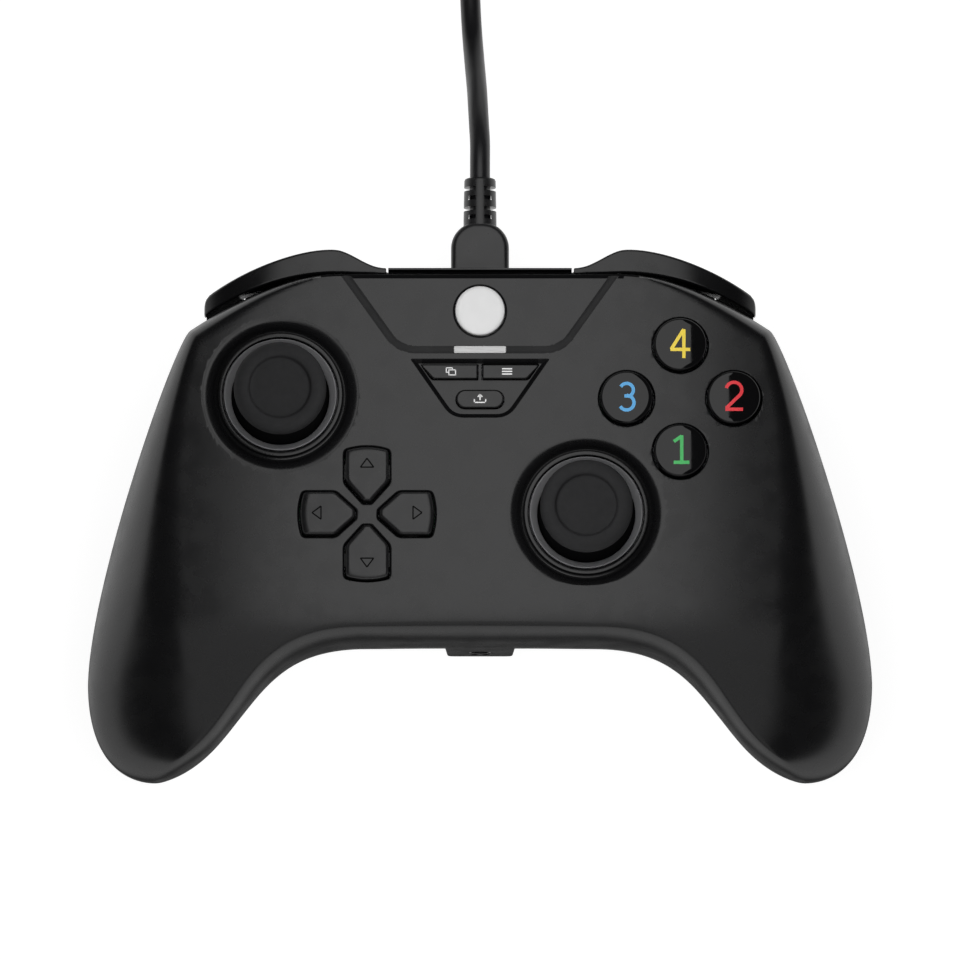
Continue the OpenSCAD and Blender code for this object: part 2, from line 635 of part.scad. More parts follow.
// Strip between the bumpers, pegged to the front shell, with a hinge eye for each bumper
lug_thick = 1.3;
lug_half = 1.9;
module top_bridge() color("#3b3b3d") difference() {
    union() {
        block([-bumper_split + 0.4, top_y + 0.25, bumper_z], [bumper_split - 0.4, top_y + bridge_depth, bumper_top_z]);
        both_sides() {
            translate([peg_x, 0, bridge_mid_z]) rod_y(peg_r, top_y - 3, top_y + 0.5);
            for (z = [window_low[2] + seat_gap, window_high[2] - seat_gap - lug_thick])
                block([hinge_x - lug_half, hinge_y - lug_half + 0.3, z],
                    [hinge_x + lug_half - 0.4, top_y + 0.5, z + lug_thick]);
        }
    }
    both_sides() {
        translate([hinge_x, hinge_y, 0]) rod(hinge_r + pin_gap, bumper_z, bumper_top_z);
        block([hinge_x - lug_half - seat_gap, hinge_y, window_low[2] + seat_gap + lug_thick],
            [bumper_split, top_y + bridge_depth + 1, window_high[2] - seat_gap - lug_thick]);
    }
}

module case_screws() color("#8d9096") for (p = screw_places) translate([p[0], p[1], 0]) {
    rod(screw_head_r, seat_z(p) - screw_head_h, seat_z(p));
    rod(screw_r, seat_z(p) - 0.1, screw_top_z);
}

module status_light_bar() color("#c9c9c9") translate([0, bar_y, 0]) {
    block([-bar_length / 2, -bar_width / 2, inside_z - 1], [bar_length / 2, bar_width / 2, face_z]);
    block([-bar_length / 2 - 1, -bar_width / 2 - 0.5, inside_z - 1],
        [bar_length / 2 + 1, bar_width / 2 + 0.5, inside_z - pin_gap]);
}

// Bumpers: curved bars that turn a little about a pin in the bridge
bumper_outer = concat(
    bezier_points([[bumper_split, top_y + bridge_depth], [bumper_split + 4, top_y + bridge_depth],
        [bumper_split + 7, back_y], [bumper_split + 10.4, back_y]], 6),
    bezier_points([[bumper_split + 11.4, back_y], [bumper_split + 18, back_y - 0.2],
        [bumper_end - 9, back_y - 4.2], [bumper_end - 1.2, back_y - 8.6]], 8),
    [[bumper_end, back_y - 10]]
);
toe_place = place_at(bumper_end);
bumper_root = 0.84;
bumper_inner = [for (i = [0:10]) along(outer_curve, blend(toe_place, bumper_root, i / 10)) + [0, bumper_gap]];
// The tops fall away towards the outer ends
fall_x = bumper_end - 20;
fall_deep = 5.2;
fall_line = [for (t = [0, 0.35, 0.6, 0.8, 1]) [blend(fall_x, bumper_end, t), bumper_top_z - fall_deep * pow(t, 2.8)]];
fall_outline = concat(
    [[bumper_split - 1, bumper_top_z + 1], [fall_x, bumper_top_z + 1]], fall_line,
    [[bumper_end + 1, bumper_top_z - fall_deep], [bumper_end + 1, bumper_z - 1], [bumper_split - 1, bumper_z - 1]]
);
module bumper_bar() intersection() {
    plate(concat(bumper_outer, bumper_inner, [[bumper_split, top_y + 0.4]]), bumper_z, bumper_top_z);
    translate([0, back_y + 1, 0]) rotate([90, 0, 0]) linear_extrude(bumper_reach + shoulder_drop + 2)
        polygon(fall_outline);
}
module bumper() {
    low_lug = window_low[2] + seat_gap + lug_thick + seat_gap;
    high_lug = window_high[2] - seat_gap - lug_thick - seat_gap;
    bumper_bar();
    plate([[hinge_x, hinge_y - 1], [hinge_x + 2.6, hinge_y + 0.4], [bumper_split + 2, top_y + 0.6],
        [bumper_split + 2, top_y + 1.4], [bumper_split, top_y + 1.4], [hinge_x, hinge_y + 1]], low_lug, high_lug);
    translate([hinge_x, hinge_y, 0]) {
        rod(lug_half - 0.3, low_lug, high_lug);
        rod(hinge_r, window_low[2] + seat_gap, window_high[2] - seat_gap);
    }
    translate([bumper_switch_x, 0, bumper_post_z]) rod_y(bumper_post_r, switch_y + 5.3, top_y + bumper_gap + 1);
}
module right_bumper() color("#414143") bumper();
module left_bumper() color("#414143") mirror([1, 0, 0]) bumper();

switch_y = top_y - 9.5;
module bumper_switches() color("#1c1c1e") both_sides() translate([bumper_switch_x, switch_y, 0]) {
    block([-3, 0, button_board_z - board_thick - 5.5], [3, 4, button_board_z - board_thick]);
    translate([0, 0, bumper_post_z]) rod_y(1, 3.9, 4.7);
}

// Triggers: a paddle on an arm that turns on a pin, with a torsion spring in the hub
trigger_face = concat(
    bezier_points([[back_y - 6.4, seam_top_z - 2.2], [back_y - 2.9, seam_top_z - 2.2],
        [back_y - 1, seam_top_z - 5.5], [back_y - 1, seam_top_z - 10]], 6),
    bezier_points([[back_y - 1, seam_top_z - 10.5], [back_y - 1, seam_top_z - 14],
        [back_y - 2.8, trigger_tip_z + 3.6], [back_y - 0.2, trigger_tip_z]], 6),
    bezier_points([[back_y - 3.4, trigger_tip_z - 1], [back_y - 7, trigger_tip_z + 2.4],
        [back_y - 10.2, seam_top_z - 14], [back_y - 10.2, seam_top_z - 9]], 6)
);
trigger_arm = [[trigger_pivot_y, trigger_pivot_z + trigger_hub_r], [back_y - 6.4, seam_top_z - 2.2],
    [back_y - 4, seam_top_z - 6], [back_y - 10.2, seam_top_z - 9], [trigger_pivot_y, trigger_pivot_z - trigger_hub_r]];
spring_slot = 4;
spring_x = trigger_in + hub_width / 2 - spring_slot / 2;
module side_plate(points, from, to) translate([from, 0, 0]) rotate([90, 0, 90]) linear_extrude(to - from) polygon(points);
trigger_plan = [[trigger_in - 1, top_y - 12], [trigger_out + 1, top_y - 12], [trigger_out + 1, back_y - 3.6],
    [trigger_out - 5, back_y + 1], [trigger_in - 1, back_y + 1]];
module trigger() difference() {
    union() {
        intersection() {
            side_plate(trigger_face, trigger_in, trigger_out);
            plate(trigger_plan, 0, seam_top_z);
        }
        side_plate(trigger_arm, trigger_in, trigger_in + hub_width);
        translate([0, trigger_pivot_y, trigger_pivot_z]) rod_x(trigger_hub_r, trigger_in, trigger_in + hub_width);
    }
    translate([0, trigger_pivot_y, trigger_pivot_z]) {
        rod_x(trigger_pin_r + pin_gap, trigger_in - 1, trigger_in + hub_width + 1);
        rod_x(trigger_hub_r + 2.2, spring_x, spring_x + spring_slot);
    }
}
module right_trigger() color("#38383a") trigger();
module left_trigger() color("#38383a") mirror([1, 0, 0]) trigger();
module trigger_pins() color("#a9acb2") both_sides()
    translate([0, trigger_pivot_y, trigger_pivot_z]) rod_x(trigger_pin_r, ear_in - ear_thick, ear_out + ear_thick);
spring_wire_r = 0.35;
spring_r = trigger_pin_r + spring_wire_r + 0.75;
spring_turns = 2.5;
spring_path = concat(
    [[spring_x + 0.5, spring_r, -2.6]],
    [for (i = [0:40]) let (a = 360 * spring_turns * i / 40)
        [spring_x + 0.5 + 3 * i / 40, spring_r * cos(a), spring_r * sin(a)]],
    [[spring_x + 3.5, -spring_r, -2.6]]
);
module trigger_springs() color("#c3c6cb") both_sides()
    translate([0, trigger_pivot_y, trigger_pivot_z]) tube(spring_path, spring_wire_r, 6, [1, 0, 0]);
module trigger_sensors() color("#1c1c1e") both_sides()
    block([trigger_in - 2.4, trigger_pivot_y - 7.4, module_base_z], [trigger_in + 1.8, trigger_pivot_y - 4.2, module_base_z + 2]);

// Push buttons and keys: a cap, two tabs that stay under the face and a plunger
tab_reach = 1.1;
button_crown = 0.5;
module button_body(r, rise, tab_turns) {
    rod(r, key_base_z, face_z + rise - button_crown);
    translate([0, 0, face_z + rise - button_crown]) cylinder(r1 = r, r2 = r - button_crown, h = button_crown);
    for (a = tab_turns) rotate(a) block([0, -1.5, key_base_z], [r + tab_reach, 1.5, flange_top_z]);
    rod(2.8, plunger_z, key_base_z + 0.5);
}
module face_button(i) translate(button_place(button_angles[i]))
    button_body(button_r, button_rise, [button_angles[i] + 135, button_angles[i] + 225]);
module face_button_south() color("#161617") face_button(0);
module face_button_east() color("#161617") face_button(1);
module face_button_west() color("#161617") face_button(2);
module face_button_north() color("#161617") face_button(3);
module home_button() color("#b9b7b4") translate([0, home_y, 0]) button_body(home_r, home_rise, [-20, 200]);

key_dome_at = 8.6;
module direction_key(i) translate([pad_x, pad_y, 0]) rotate(key_angles[i]) {
    plate(key_outline(0), key_base_z, face_z + key_rise - 0.7);
    plate(key_outline(-0.7), key_base_z, face_z + key_rise);
    block([key_shoulder + 1, -key_half - 0.9, key_base_z], [key_reach - 3, key_half + 0.9, flange_top_z]);
    translate([key_dome_at, 0, 0]) rod(2.4, plunger_z, key_base_z + 0.5);
}
module direction_key_up() color("#3f3f41") direction_key(0);
module direction_key_right() color("#3f3f41") direction_key(1);
module direction_key_down() color("#3f3f41") direction_key(2);
module direction_key_left() color("#3f3f41") direction_key(3);

small_key_z = face_z - panel_depth + small_key_rise;
slant_dome_x = slant_top / 2;
module slant_key() translate([0, slant_y, 0]) {
    plate(slant_key, key_base_z, small_key_z);
    block([slant_gap + 1, -slant_height / 2 - 0.7, key_base_z], [slant_low - 1, slant_height / 2 + 0.7, flange_top_z]);
    translate([slant_dome_x, 0, 0]) rod(1.2, plunger_z, key_base_z + 0.5);
}
module menu_key() color("#4a4a4c") slant_key();
module view_key() color("#4a4a4c") mirror([1, 0, 0]) slant_key();
module share_key() color("#4a4a4c") translate([0, share_y, 0]) {
    plate(stadium(share_length, share_width), key_base_z, small_key_z);
    block([-2.5, -share_width / 2 - 0.7, key_base_z], [2.5, share_width / 2 + 0.7, flange_top_z]);
    rod(1.5, plunger_z, key_base_z + 0.5);
}

// Rubber sheets with a dome under each plunger
module dome(r) translate([0, 0, button_board_z + sheet_thick / 2])
    cylinder(r1 = r + 1.2, r2 = r, h = dome_top_z - button_board_z - sheet_thick / 2);
module face_dome_sheet() color("#9a9da1") {
    translate([buttons_x, buttons_y, 0]) rod(buttons_pitch + 4.2, button_board_z, button_board_z + sheet_thick);
    for (a = button_angles) translate(button_place(a)) dome(2.8);
}
module direction_dome_sheet() color("#9a9da1") translate([pad_x, pad_y, 0]) {
    rod(key_dome_at + 4, button_board_z, button_board_z + sheet_thick);
    for (a = key_angles) rotate(a) translate([key_dome_at, 0, 0]) dome(2.4);
}
module middle_dome_sheet() color("#9a9da1") {
    block([-slant_top + 1, share_y - 3.5, button_board_z], [slant_top - 1, home_y + 4.5, button_board_z + sheet_thick]);
    translate([0, home_y, 0]) dome(2.8);
    both_sides() translate([slant_dome_x, slant_y, 0]) dome(1.2);
    translate([0, share_y, 0]) dome(1.4);
}

// Thumb sticks, drawn about their pivots
dome_in_r = dome_r - dome_wall;
cap_top = pivot_depth + cap_rise;
cap_under = cap_top - cap_thick;
post_top = cap_under - 3.4;
post_foot = 5;
post_hole_r = post_r + pin_gap / 2;
function dome_arc(r, from, to) = [for (i = [0:8]) let (a = blend(from, to, i / 8)) r * [sin(a), cos(a)]];
stick_profile = concat(
    [[0, post_top], [post_hole_r, post_top]],
    dome_arc(dome_in_r, asin(post_hole_r / dome_in_r), dome_angle),
    dome_arc(dome_r, dome_angle, asin(neck_r / dome_r)),
    [[neck_r, cap_under - 1.6], [cap_r - 2, cap_under], [cap_r, cap_under + 1.8], [cap_r, cap_top - 1.6],
        [cap_r - 0.4, cap_top - 0.4], [cap_r - 1.1, cap_top], [cap_dish_r + 0.3, cap_top - 0.4],
        [cap_dish_r, cap_top - 1.1], [0, cap_top - 1.1]]
);
module stick_cap() color("#262628") rotate_extrude() polygon(stick_profile);
module stick_post() color("#a9acb2") rod(post_r, -post_foot, post_top - 0.1);

hub_half = [3.2, 2.2, 2];
hub_pin_r = 1;
rocker_half = [6.2, 4.4, 1.8];
rocker_open = [4.2, hub_half[1] + seat_gap];
bearing_x = 8;
bearing_y = 8.7;
bearing_thick = 0.9;
trunnion_end = 2;
module stick_hub() color("#d8d6d0") difference() {
    union() {
        block(-hub_half, hub_half);
        rod_y(hub_pin_r, -rocker_half[1] + 0.2, rocker_half[1] - 0.2);
    }
    rod(post_r + pin_gap, -5, 5);
}
module lower_rocker() color("#e4e2dc") difference() {
    union() {
        block(-rocker_half, rocker_half);
        rod_x(trunnion_r, -bearing_x - bearing_thick - 0.3, bearing_x + bearing_thick + trunnion_end);
    }
    block([-rocker_open[0], -rocker_open[1], -5], [rocker_open[0], rocker_open[1], 5]);
    rod_y(hub_pin_r + pin_gap, -10, 10);
}
arch_in_r = 6.3;
arch_out_r = 7.8;
arch_half = post_r + 1.2;
slot_half = post_r + 0.35;
module upper_rocker() color("#cfcdc7") difference() {
    union() {
        difference() {
            rod_x(arch_out_r, -arch_half, arch_half);
            rod_x(arch_in_r, -5, 5);
            block([-10, -10, -10], [10, 10, 0]);
        }
        for (s = [-1, 1]) rod_y(arch_half, s > 0 ? arch_in_r : -arch_out_r, s > 0 ? arch_out_r : -arch_in_r);
        rod_y(trunnion_r, arch_in_r + 0.5, bearing_y + bearing_thick + 0.3);
        rod_y(trunnion_r, -bearing_y - bearing_thick - trunnion_end, -arch_in_r - 0.5);
    }
    block([-slot_half, -4.8, 3], [slot_half, 4.8, 10]);
}
module stick_frame() color("#b4b6ba") difference() {
    base = -module_depth;
    union() {
        block([-bearing_x - bearing_thick, -bearing_y - bearing_thick, base],
            [bearing_x + bearing_thick, bearing_y + bearing_thick, base + 0.8]);
        for (s = [-1, 1]) {
            translate([s * (bearing_x + bearing_thick / 2), 0, 0])
                block([-bearing_thick / 2, -3.5, base], [bearing_thick / 2, 3.5, trunnion_r + 0.7]);
            translate([0, s * (bearing_y + bearing_thick / 2), 0])
                block([-3.5, -bearing_thick / 2, base], [3.5, bearing_thick / 2, trunnion_r + 0.7]);
        }
    }
    rod_x(trunnion_r + pin_gap, -20, 20);
    rod_y(trunnion_r + pin_gap, -20, 20);
}
pot_thick = 3.4;
pot_half = 4.5;
pot_top = 1.6;
module stick_pots() difference() {
    union() {
        block([bearing_x + bearing_thick + pin_gap, -pot_half, -module_depth],
            [bearing_x + bearing_thick + pot_thick, pot_half, pot_top]);
        block([-pot_half, -bearing_y - bearing_thick - pot_thick, -module_depth],
            [pot_half, -bearing_y - bearing_thick - pin_gap, pot_top]);
    }
    rod_x(trunnion_r + pin_gap, 5, bearing_x + bearing_thick + trunnion_end + 0.2);
    rod_y(trunnion_r + pin_gap, -bearing_y - bearing_thick - trunnion_end - 0.2, -5);
}
module stick_click_switch() {
    block([-3, -3, 0.8 - module_depth], [3, 3, -post_foot - 1.4]);
    rod(1.5, -post_foot - 1.5, -post_foot - 0.85);
}
stick_spring_r = 5.2;
stick_spring_wire_r = 0.3;
stick_spring_turns = 4;
stick_spring_low = 0.8 - module_depth + stick_spring_wire_r + 0.2;
stick_spring_high = -rocker_half[2] - stick_spring_wire_r - 0.3;
stick_spring_path = [for (i = [0:64]) let (a = 360 * stick_spring_turns * i / 64)
    [stick_spring_r * cos(a), stick_spring_r * sin(a), blend(stick_spring_low, stick_spring_high, i / 64)]];
module stick_ring(place) color("#505052") translate([place[0], place[1], 0]) rotate_extrude() polygon([
    [ring_mouth_r, ring_flange_z], [ring_flange_r, ring_flange_z], [ring_flange_r, collar_low_z - pin_gap],
    [ring_seat_r - pin_gap, collar_low_z - pin_gap], [ring_seat_r - pin_gap, face_z - 0.1],
    [ring_seat_r - 0.6, face_z - 0.1], [ring_mouth_r, ring_flange_z + 1.4]
]);

module left_stick_cap() at_stick(left_stick) stick_cap();
module left_stick_post() at_stick(left_stick) stick_post();
module left_stick_hub() at_stick(left_stick) stick_hub();
module left_lower_rocker() at_stick(left_stick) lower_rocker();
module left_upper_rocker() at_stick(left_stick) upper_rocker();
module left_stick_frame() at_stick(left_stick) stick_frame();
module left_stick_ring() stick_ring(left_stick);
module right_stick_cap() at_stick(right_stick) stick_cap();
module right_stick_post() at_stick(right_stick) stick_post();
module right_stick_hub() at_stick(right_stick) stick_hub();
module right_lower_rocker() at_stick(right_stick) lower_rocker();
module right_upper_rocker() at_stick(right_stick) upper_rocker();
module right_stick_frame() at_stick(right_stick) stick_frame();
module right_stick_ring() stick_ring(right_stick);
module stick_potentiometers() color("#2f5f3a") for (p = sticks) at_stick(p) stick_pots();
module stick_click_switches() color("#1c1c1e") for (p = sticks) at_stick(p) stick_click_switch();
module stick_springs() color("#c3c6cb") for (p = sticks) at_stick(p)
    tube(stick_spring_path, stick_spring_wire_r, 6, [0, 0, 1]);

// Rumble motors in the grips, each with a half-round weight on its shaft
shaft_r = 1;
weight_gap = 1;
module motor() difference() {
    translate([motor_x, 0, motor_z]) rod_y(motor_r, motor_back_y - motor_length, motor_back_y);
    translate([motor_x, 0, motor_z])
        rod_y(shaft_r + pin_gap, motor_back_y - motor_length - 1, motor_back_y - motor_length + 6);
}
module motor_weight() translate([motor_x, motor_back_y - motor_length - weight_gap, motor_z]) {
    rod_y(shaft_r, -weight_length, weight_gap + 5);
    difference() {
        rod_y(weight_r, -weight_length, 0);
        block([-weight_r - 1, -weight_length - 1, 0], [weight_r + 1, 1, weight_r + 1]);
    }
}
module right_motor() color("#b8babd") motor();
module left_motor() color("#b8babd") mirror([1, 0, 0]) motor();
module right_motor_weight() color("#9b8a55") motor_weight();
module left_motor_weight() color("#9b8a55") mirror([1, 0, 0]) motor_weight();

// Circuit boards
boss_hole_r = boss_r + seat_gap;
button_board_half = [[0, top_y - 3.6], [27, top_y - 3.6], [34, top_y - 6.5], [51, 30], [55, 22], [55, 8],
    [50, -12], [38, -18], [0, -18]];
main_board_half = [[0, top_y - 3.7], [22, top_y - 3.7], [22, 31.2], [49, 31.2], [51, 20], [49, 2],
    [34, -12], [12, arch_y + 5.4], [0, arch_y + 5.4]];
module board_holes(from) at_screws() rod(boss_hole_r, from - 1, from + board_thick + 1);
module button_board() color("#1f4d33") difference() {
    both_sides() plate(button_board_half, button_board_z - board_thick, button_board_z);
    board_holes(button_board_z - board_thick);
    for (p = sticks) translate([p[0], p[1], 0]) rod(dome_r + 0.8, button_board_z - 5, button_board_z + 1);
}
module main_board() color("#1f4d33") difference() {
    both_sides() plate(main_board_half, main_board_z, module_base_z);
    board_holes(main_board_z);
}
port_back_y = top_y - 10;
port_front_y = top_y - 2.6;
tongue_half = [4.15, 1.2];
module usb_port() color("#b4b6ba") difference() {
    block([-port_width / 2, port_back_y, module_base_z], [port_width / 2, port_front_y, module_base_z + port_height]);
    block([-tongue_half[0] - pin_gap, port_back_y + 1.6, port_z - tongue_half[1] - pin_gap],
        [tongue_half[0] + pin_gap, port_front_y + 1, port_z + tongue_half[1] + pin_gap]);
}
module headset_jack() color("#1c1c1e") difference() {
    union() {
        block([-jack_half, jack_face_y + surround_deep + 0.2, main_board_z - jack_height],
            [jack_half, jack_face_y + surround_deep + jack_bore_length, main_board_z]);
        translate([0, 0, jack_z]) rod_y(jack_nose_r, jack_face_y + 0.2, jack_face_y + surround_deep + 1);
    }
    translate([0, 0, jack_z]) rod_y(jack_bore_r, jack_face_y - 1, jack_face_y + 0.2 + jack_bore_length);
}

// Lead: plug at the casing, strain relief, free stretch, tied coil, tail and the plug at the far end
plug_front_y = port_front_y + 0.5;
plug_end_y = top_y + plug_length;
relief_length = 9.8;
plug_corner_r = 4;
module plug_housing() color("#2a2a2c") {
    half = plug_width / 2;
    plate(concat([[half, plug_front_y]], shift(arc(plug_corner_r, 0, 90, 6), [half - plug_corner_r, plug_end_y - plug_corner_r]),
        shift(arc(plug_corner_r, 90, 180, 6), [plug_corner_r - half, plug_end_y - plug_corner_r]), [[-half, plug_front_y]]),
        port_z - plug_thick / 2, port_z + plug_thick / 2);
}
module plug_tongue() color("#c9ccd1")
    block([-tongue_half[0], port_back_y + 1.9, port_z - tongue_half[1]], [tongue_half[0], plug_front_y, port_z + tongue_half[1]]);
rib_count = 3;
rib_step = relief_length / rib_count;
relief_profile = concat(
    [[0, 0]],
    [for (i = [0:rib_count - 1]) each [[relief_d / 2, i * rib_step], [relief_d / 2, (i + 0.7) * rib_step],
        [lead_d / 2 + 0.35, (i + 0.75) * rib_step], [lead_d / 2 + 0.35, (i + 1) * rib_step]]],
    [[0, relief_length]]
);
module strain_relief() color("#2a2a2c") translate([0, plug_end_y, port_z]) rotate([-90, 0, 0])
    rotate_extrude() polygon(relief_profile);

lead_route = [
    [0, 66.66, 22.05], [0, 71, 22], [0, 75, 21.3], [-0.2, 79, 19.4], [-0.4, 83, 16.4], [-0.6, 87, 12.8],
    [-0.9, 91, 9], [-1.2, 95, 5.7], [-1.5, 99, 3.4], [-1.8, 104, 2.2], [-2, 110, 2], [-2, 118, 2.1],
    [-2, 126, 2.5], [-2, 134, 2.9], [-2, 141, 3], [-2, 145, 3]
];
module lead() color("#29292b") tube(lead_route, lead_d / 2, 8, [0, 0, 1]);

coil_start = [-2, 149];
coil_low_z = 3;
coil_layers = 4;
layer_turns = coil_turns / coil_layers;
coil_in_r = coil_out_r - coil_pitch * layer_turns;
coil_centre = [coil_start[0] - coil_out_r, coil_start[1]];
coil_top_z = coil_low_z + coil_pitch * (coil_layers - 1);
loop_rings = 24;
function sum(v, i = 0) = i < len(v) ? v[i] + sum(v, i + 1) : 0;
function coil_point(a) =
    let (
        p = a / 360 / layer_turns,
        q = p - 2 * floor(p / 2),
        r = blend(coil_out_r, coil_in_r, q < 1 ? q : 2 - q),
        climbs = sum([for (k = [1:coil_layers - 1]) smooth((a - 360 * layer_turns * k) / 180 + 0.5)])
    )
    [coil_centre[0] + r * cos(a), coil_centre[1] + r * sin(a), coil_low_z + coil_pitch * climbs];
coil_loops = [for (i = [0:coil_turns * loop_rings]) coil_point(360 * i / loop_rings)];
coil_path = concat(
    [[coil_start[0], coil_start[1] - lead_d, coil_low_z]],
    coil_loops,
    [coil_loops[len(coil_loops) - 1] + [lead_d, 0, 0]]
);
function least_gap(p, apart) =
    min([for (i = [0:len(p) - 1 - apart]) for (k = [i + apart:len(p) - 1]) norm(p[i] - p[k])]) - lead_d;
function path_length(p) = sum([for (i = [1:len(p) - 1]) norm(p[i] - p[i - 1])]);
module lead_coil() color("#29292b") {
    echo(least_gap_between_loops = least_gap(coil_path, loop_rings / 2));
    echo(lead_length = path_length(lead_route) + path_length(coil_path) + path_length(tail_route));
    tube(coil_path, lead_d / 2, 6, [0, 0, 1]);
    coil_tie();
}
tie_thick = 0.8;
tie_width = 6;
tie_gap = 0.4;
module coil_tie() {
    low = [coil_in_r - lead_d / 2 - tie_gap, tie_thick];
    high = [coil_out_r + lead_d / 2 + tie_gap, coil_top_z + lead_d / 2 + tie_gap];
    translate([coil_centre[0], coil_centre[1], 0]) rotate([90, 0, 0]) translate([0, 0, -tie_width / 2])
        linear_extrude(tie_width) difference() {
            polygon([[low[0] - tie_thick, 0], [high[0] + tie_thick, 0],
                [high[0] + tie_thick, high[1] + tie_thick], [low[0] - tie_thick, high[1] + tie_thick]]);
            polygon([low, [high[0], low[1]], high, [low[0], high[1]]]);
        }
}

tail_route = [
    [-33.05, 113.7, 16.5], [-29, 113.8, 16.2], [-22, 114.2, 14.6], [-14, 114.9, 12.2], [-6, 115.8, 9.6],
    [2, 116.7, 7.2], [9, 117.4, 5.4], [15, 117.8, 4.4], [20, 118, 4], [24, 118, 4]
];
module lead_tail() color("#29292b") tube(tail_route, lead_d / 2, 8, [0, 0, 1]);
usb_shell = [12, 12, 4.5];
module usb_plug() color("#2a2a2c") translate(tail_route[len(tail_route) - 1]) {
    block([0, -usb_width / 2, -usb_thick / 2], [usb_length, usb_width / 2, usb_thick / 2]);
    block([usb_length - 1, -usb_shell[1] / 2, -usb_shell[2] / 2], [usb_length + usb_shell[0], usb_shell[1] / 2, usb_shell[2] / 2]);
}

front_shell();
rear_shell();
top_bridge();
case_screws();
status_light_bar();
left_bumper();
right_bumper();
bumper_switches();
left_trigger();
right_trigger();
trigger_pins();
trigger_springs();
trigger_sensors();
home_button();
view_key();
menu_key();
share_key();
face_button_south();
face_button_east();
face_button_west();
face_button_north();
direction_key_up();
direction_key_right();
direction_key_down();
direction_key_left();
face_dome_sheet();
direction_dome_sheet();
middle_dome_sheet();
left_stick_cap();
left_stick_post();
left_stick_hub();
left_lower_rocker();
left_upper_rocker();
left_stick_frame();
left_stick_ring();
right_stick_cap();
right_stick_post();
right_stick_hub();
right_lower_rocker();
right_upper_rocker();
right_stick_frame();
right_stick_ring();
stick_potentiometers();
stick_click_switches();
stick_springs();
left_motor();
left_motor_weight();
right_motor();
right_motor_weight();
button_board();
main_board();
headset_jack();
usb_port();
plug_housing();
plug_tongue();
strain_relief();
lead();
lead_coil();
lead_tail();
usb_plug();
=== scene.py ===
"""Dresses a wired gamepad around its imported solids: casing, controls, lead and a white studio."""

import json
import logging
import math
from collections.abc import Callable, Iterable, Sequence
from dataclasses import dataclass, field
from enum import Enum

import bmesh
import bpy
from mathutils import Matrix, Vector


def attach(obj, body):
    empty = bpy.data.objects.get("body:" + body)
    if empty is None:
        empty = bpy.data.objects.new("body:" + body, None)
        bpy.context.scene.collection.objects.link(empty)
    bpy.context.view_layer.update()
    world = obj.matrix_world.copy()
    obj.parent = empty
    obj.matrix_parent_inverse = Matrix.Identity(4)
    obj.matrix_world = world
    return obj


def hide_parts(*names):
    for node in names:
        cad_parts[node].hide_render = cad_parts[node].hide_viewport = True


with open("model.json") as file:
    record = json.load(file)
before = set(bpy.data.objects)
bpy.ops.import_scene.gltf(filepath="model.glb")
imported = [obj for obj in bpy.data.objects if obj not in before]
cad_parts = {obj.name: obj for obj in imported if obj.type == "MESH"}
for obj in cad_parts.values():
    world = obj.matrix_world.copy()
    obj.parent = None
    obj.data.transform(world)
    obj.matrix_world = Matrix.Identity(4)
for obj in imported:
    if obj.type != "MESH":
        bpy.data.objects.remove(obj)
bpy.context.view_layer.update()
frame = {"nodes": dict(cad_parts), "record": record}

LOG = logging.getLogger("gamepad")
MM = 0.001
# How far in millimetres the flat end of a rounded solid is drawn in, which keeps its shading even.
FLAT = 0.12
Pair = tuple[float, float]
Triple = tuple[float, float, float]
Loop = list[Pair]


class Cut(Enum):
    """Ways in which tools change a piece."""

    TAKE = "DIFFERENCE"
    JOIN = "UNION"


class Half(Enum):
    """The two halves of the casing, and the way each faces along Z."""

    FRONT = 1
    REAR = -1


class Hand(Enum):
    """The player's two sides, and the way each lies along X."""

    LEFT = -1
    RIGHT = 1

    @property
    def word(self) -> str:
        """The name of the side in lower case."""
        return self.name.lower()


def smooth(x: float) -> float:
    """Ease from 0 to 1 while x goes from 0 to 1."""
    c = max(0.0, min(1.0, x))
    return c * c * (3 - 2 * c)


def between(a: float, b: float, t: float) -> float:
    """The value t of the way from a to b."""
    return a + (b - a) * t


def bezier(p: Sequence[Sequence[float]], t: float) -> tuple[float, ...]:
    """The point at t on a cubic curve of four control points."""
    w = ((1 - t) ** 3, 3 * (1 - t) ** 2 * t, 3 * (1 - t) * t * t, t ** 3)
    return tuple(sum(w[i] * p[i][k] for i in range(4)) for k in range(len(p[0])))


def bezier_run(p: Sequence[Pair], steps: int) -> Loop:
    """A cubic curve as steps + 1 points."""
    return [bezier(p, i / steps) for i in range(steps + 1)]


def arc(r: float, start: float, end: float, steps: int, centre: Pair = (0.0, 0.0)) -> Loop:
    """Points of a circular arc between two angles in degrees."""
    turns = [math.radians(between(start, end, i / steps)) for i in range(steps + 1)]
    return [(centre[0] + r * math.cos(a), centre[1] + r * math.sin(a)) for a in turns]


def circle(r: float, centre: Pair = (0.0, 0.0), steps: int = 72) -> Loop:
    """A closed circle, counter-clockwise."""
    return arc(r, 0, 360, steps, centre)[:-1]


def inset(loop: Sequence[Pair], by: float) -> Loop:
    """Move a counter-clockwise loop inwards, or outwards where by is negative.

    Args:
        loop: The loop's points.
        by: The distance between the old and the new edges.

    Returns:
        As many points as the loop has.
    """
    made = []
    for i, p in enumerate(loop):
        a, b = Vector(loop[i - 1]), Vector(loop[(i + 1) % len(loop)])
        e = (Vector(p) - a).normalized()
        f = (b - Vector(p)).normalized()
        m, n = Vector((-e.y, e.x)), Vector((-f.y, f.x))
        q = Vector(p) + (m + n) * (by / max(0.35, 1 + m.dot(n)))
        made.append((q.x, q.y))
    return made


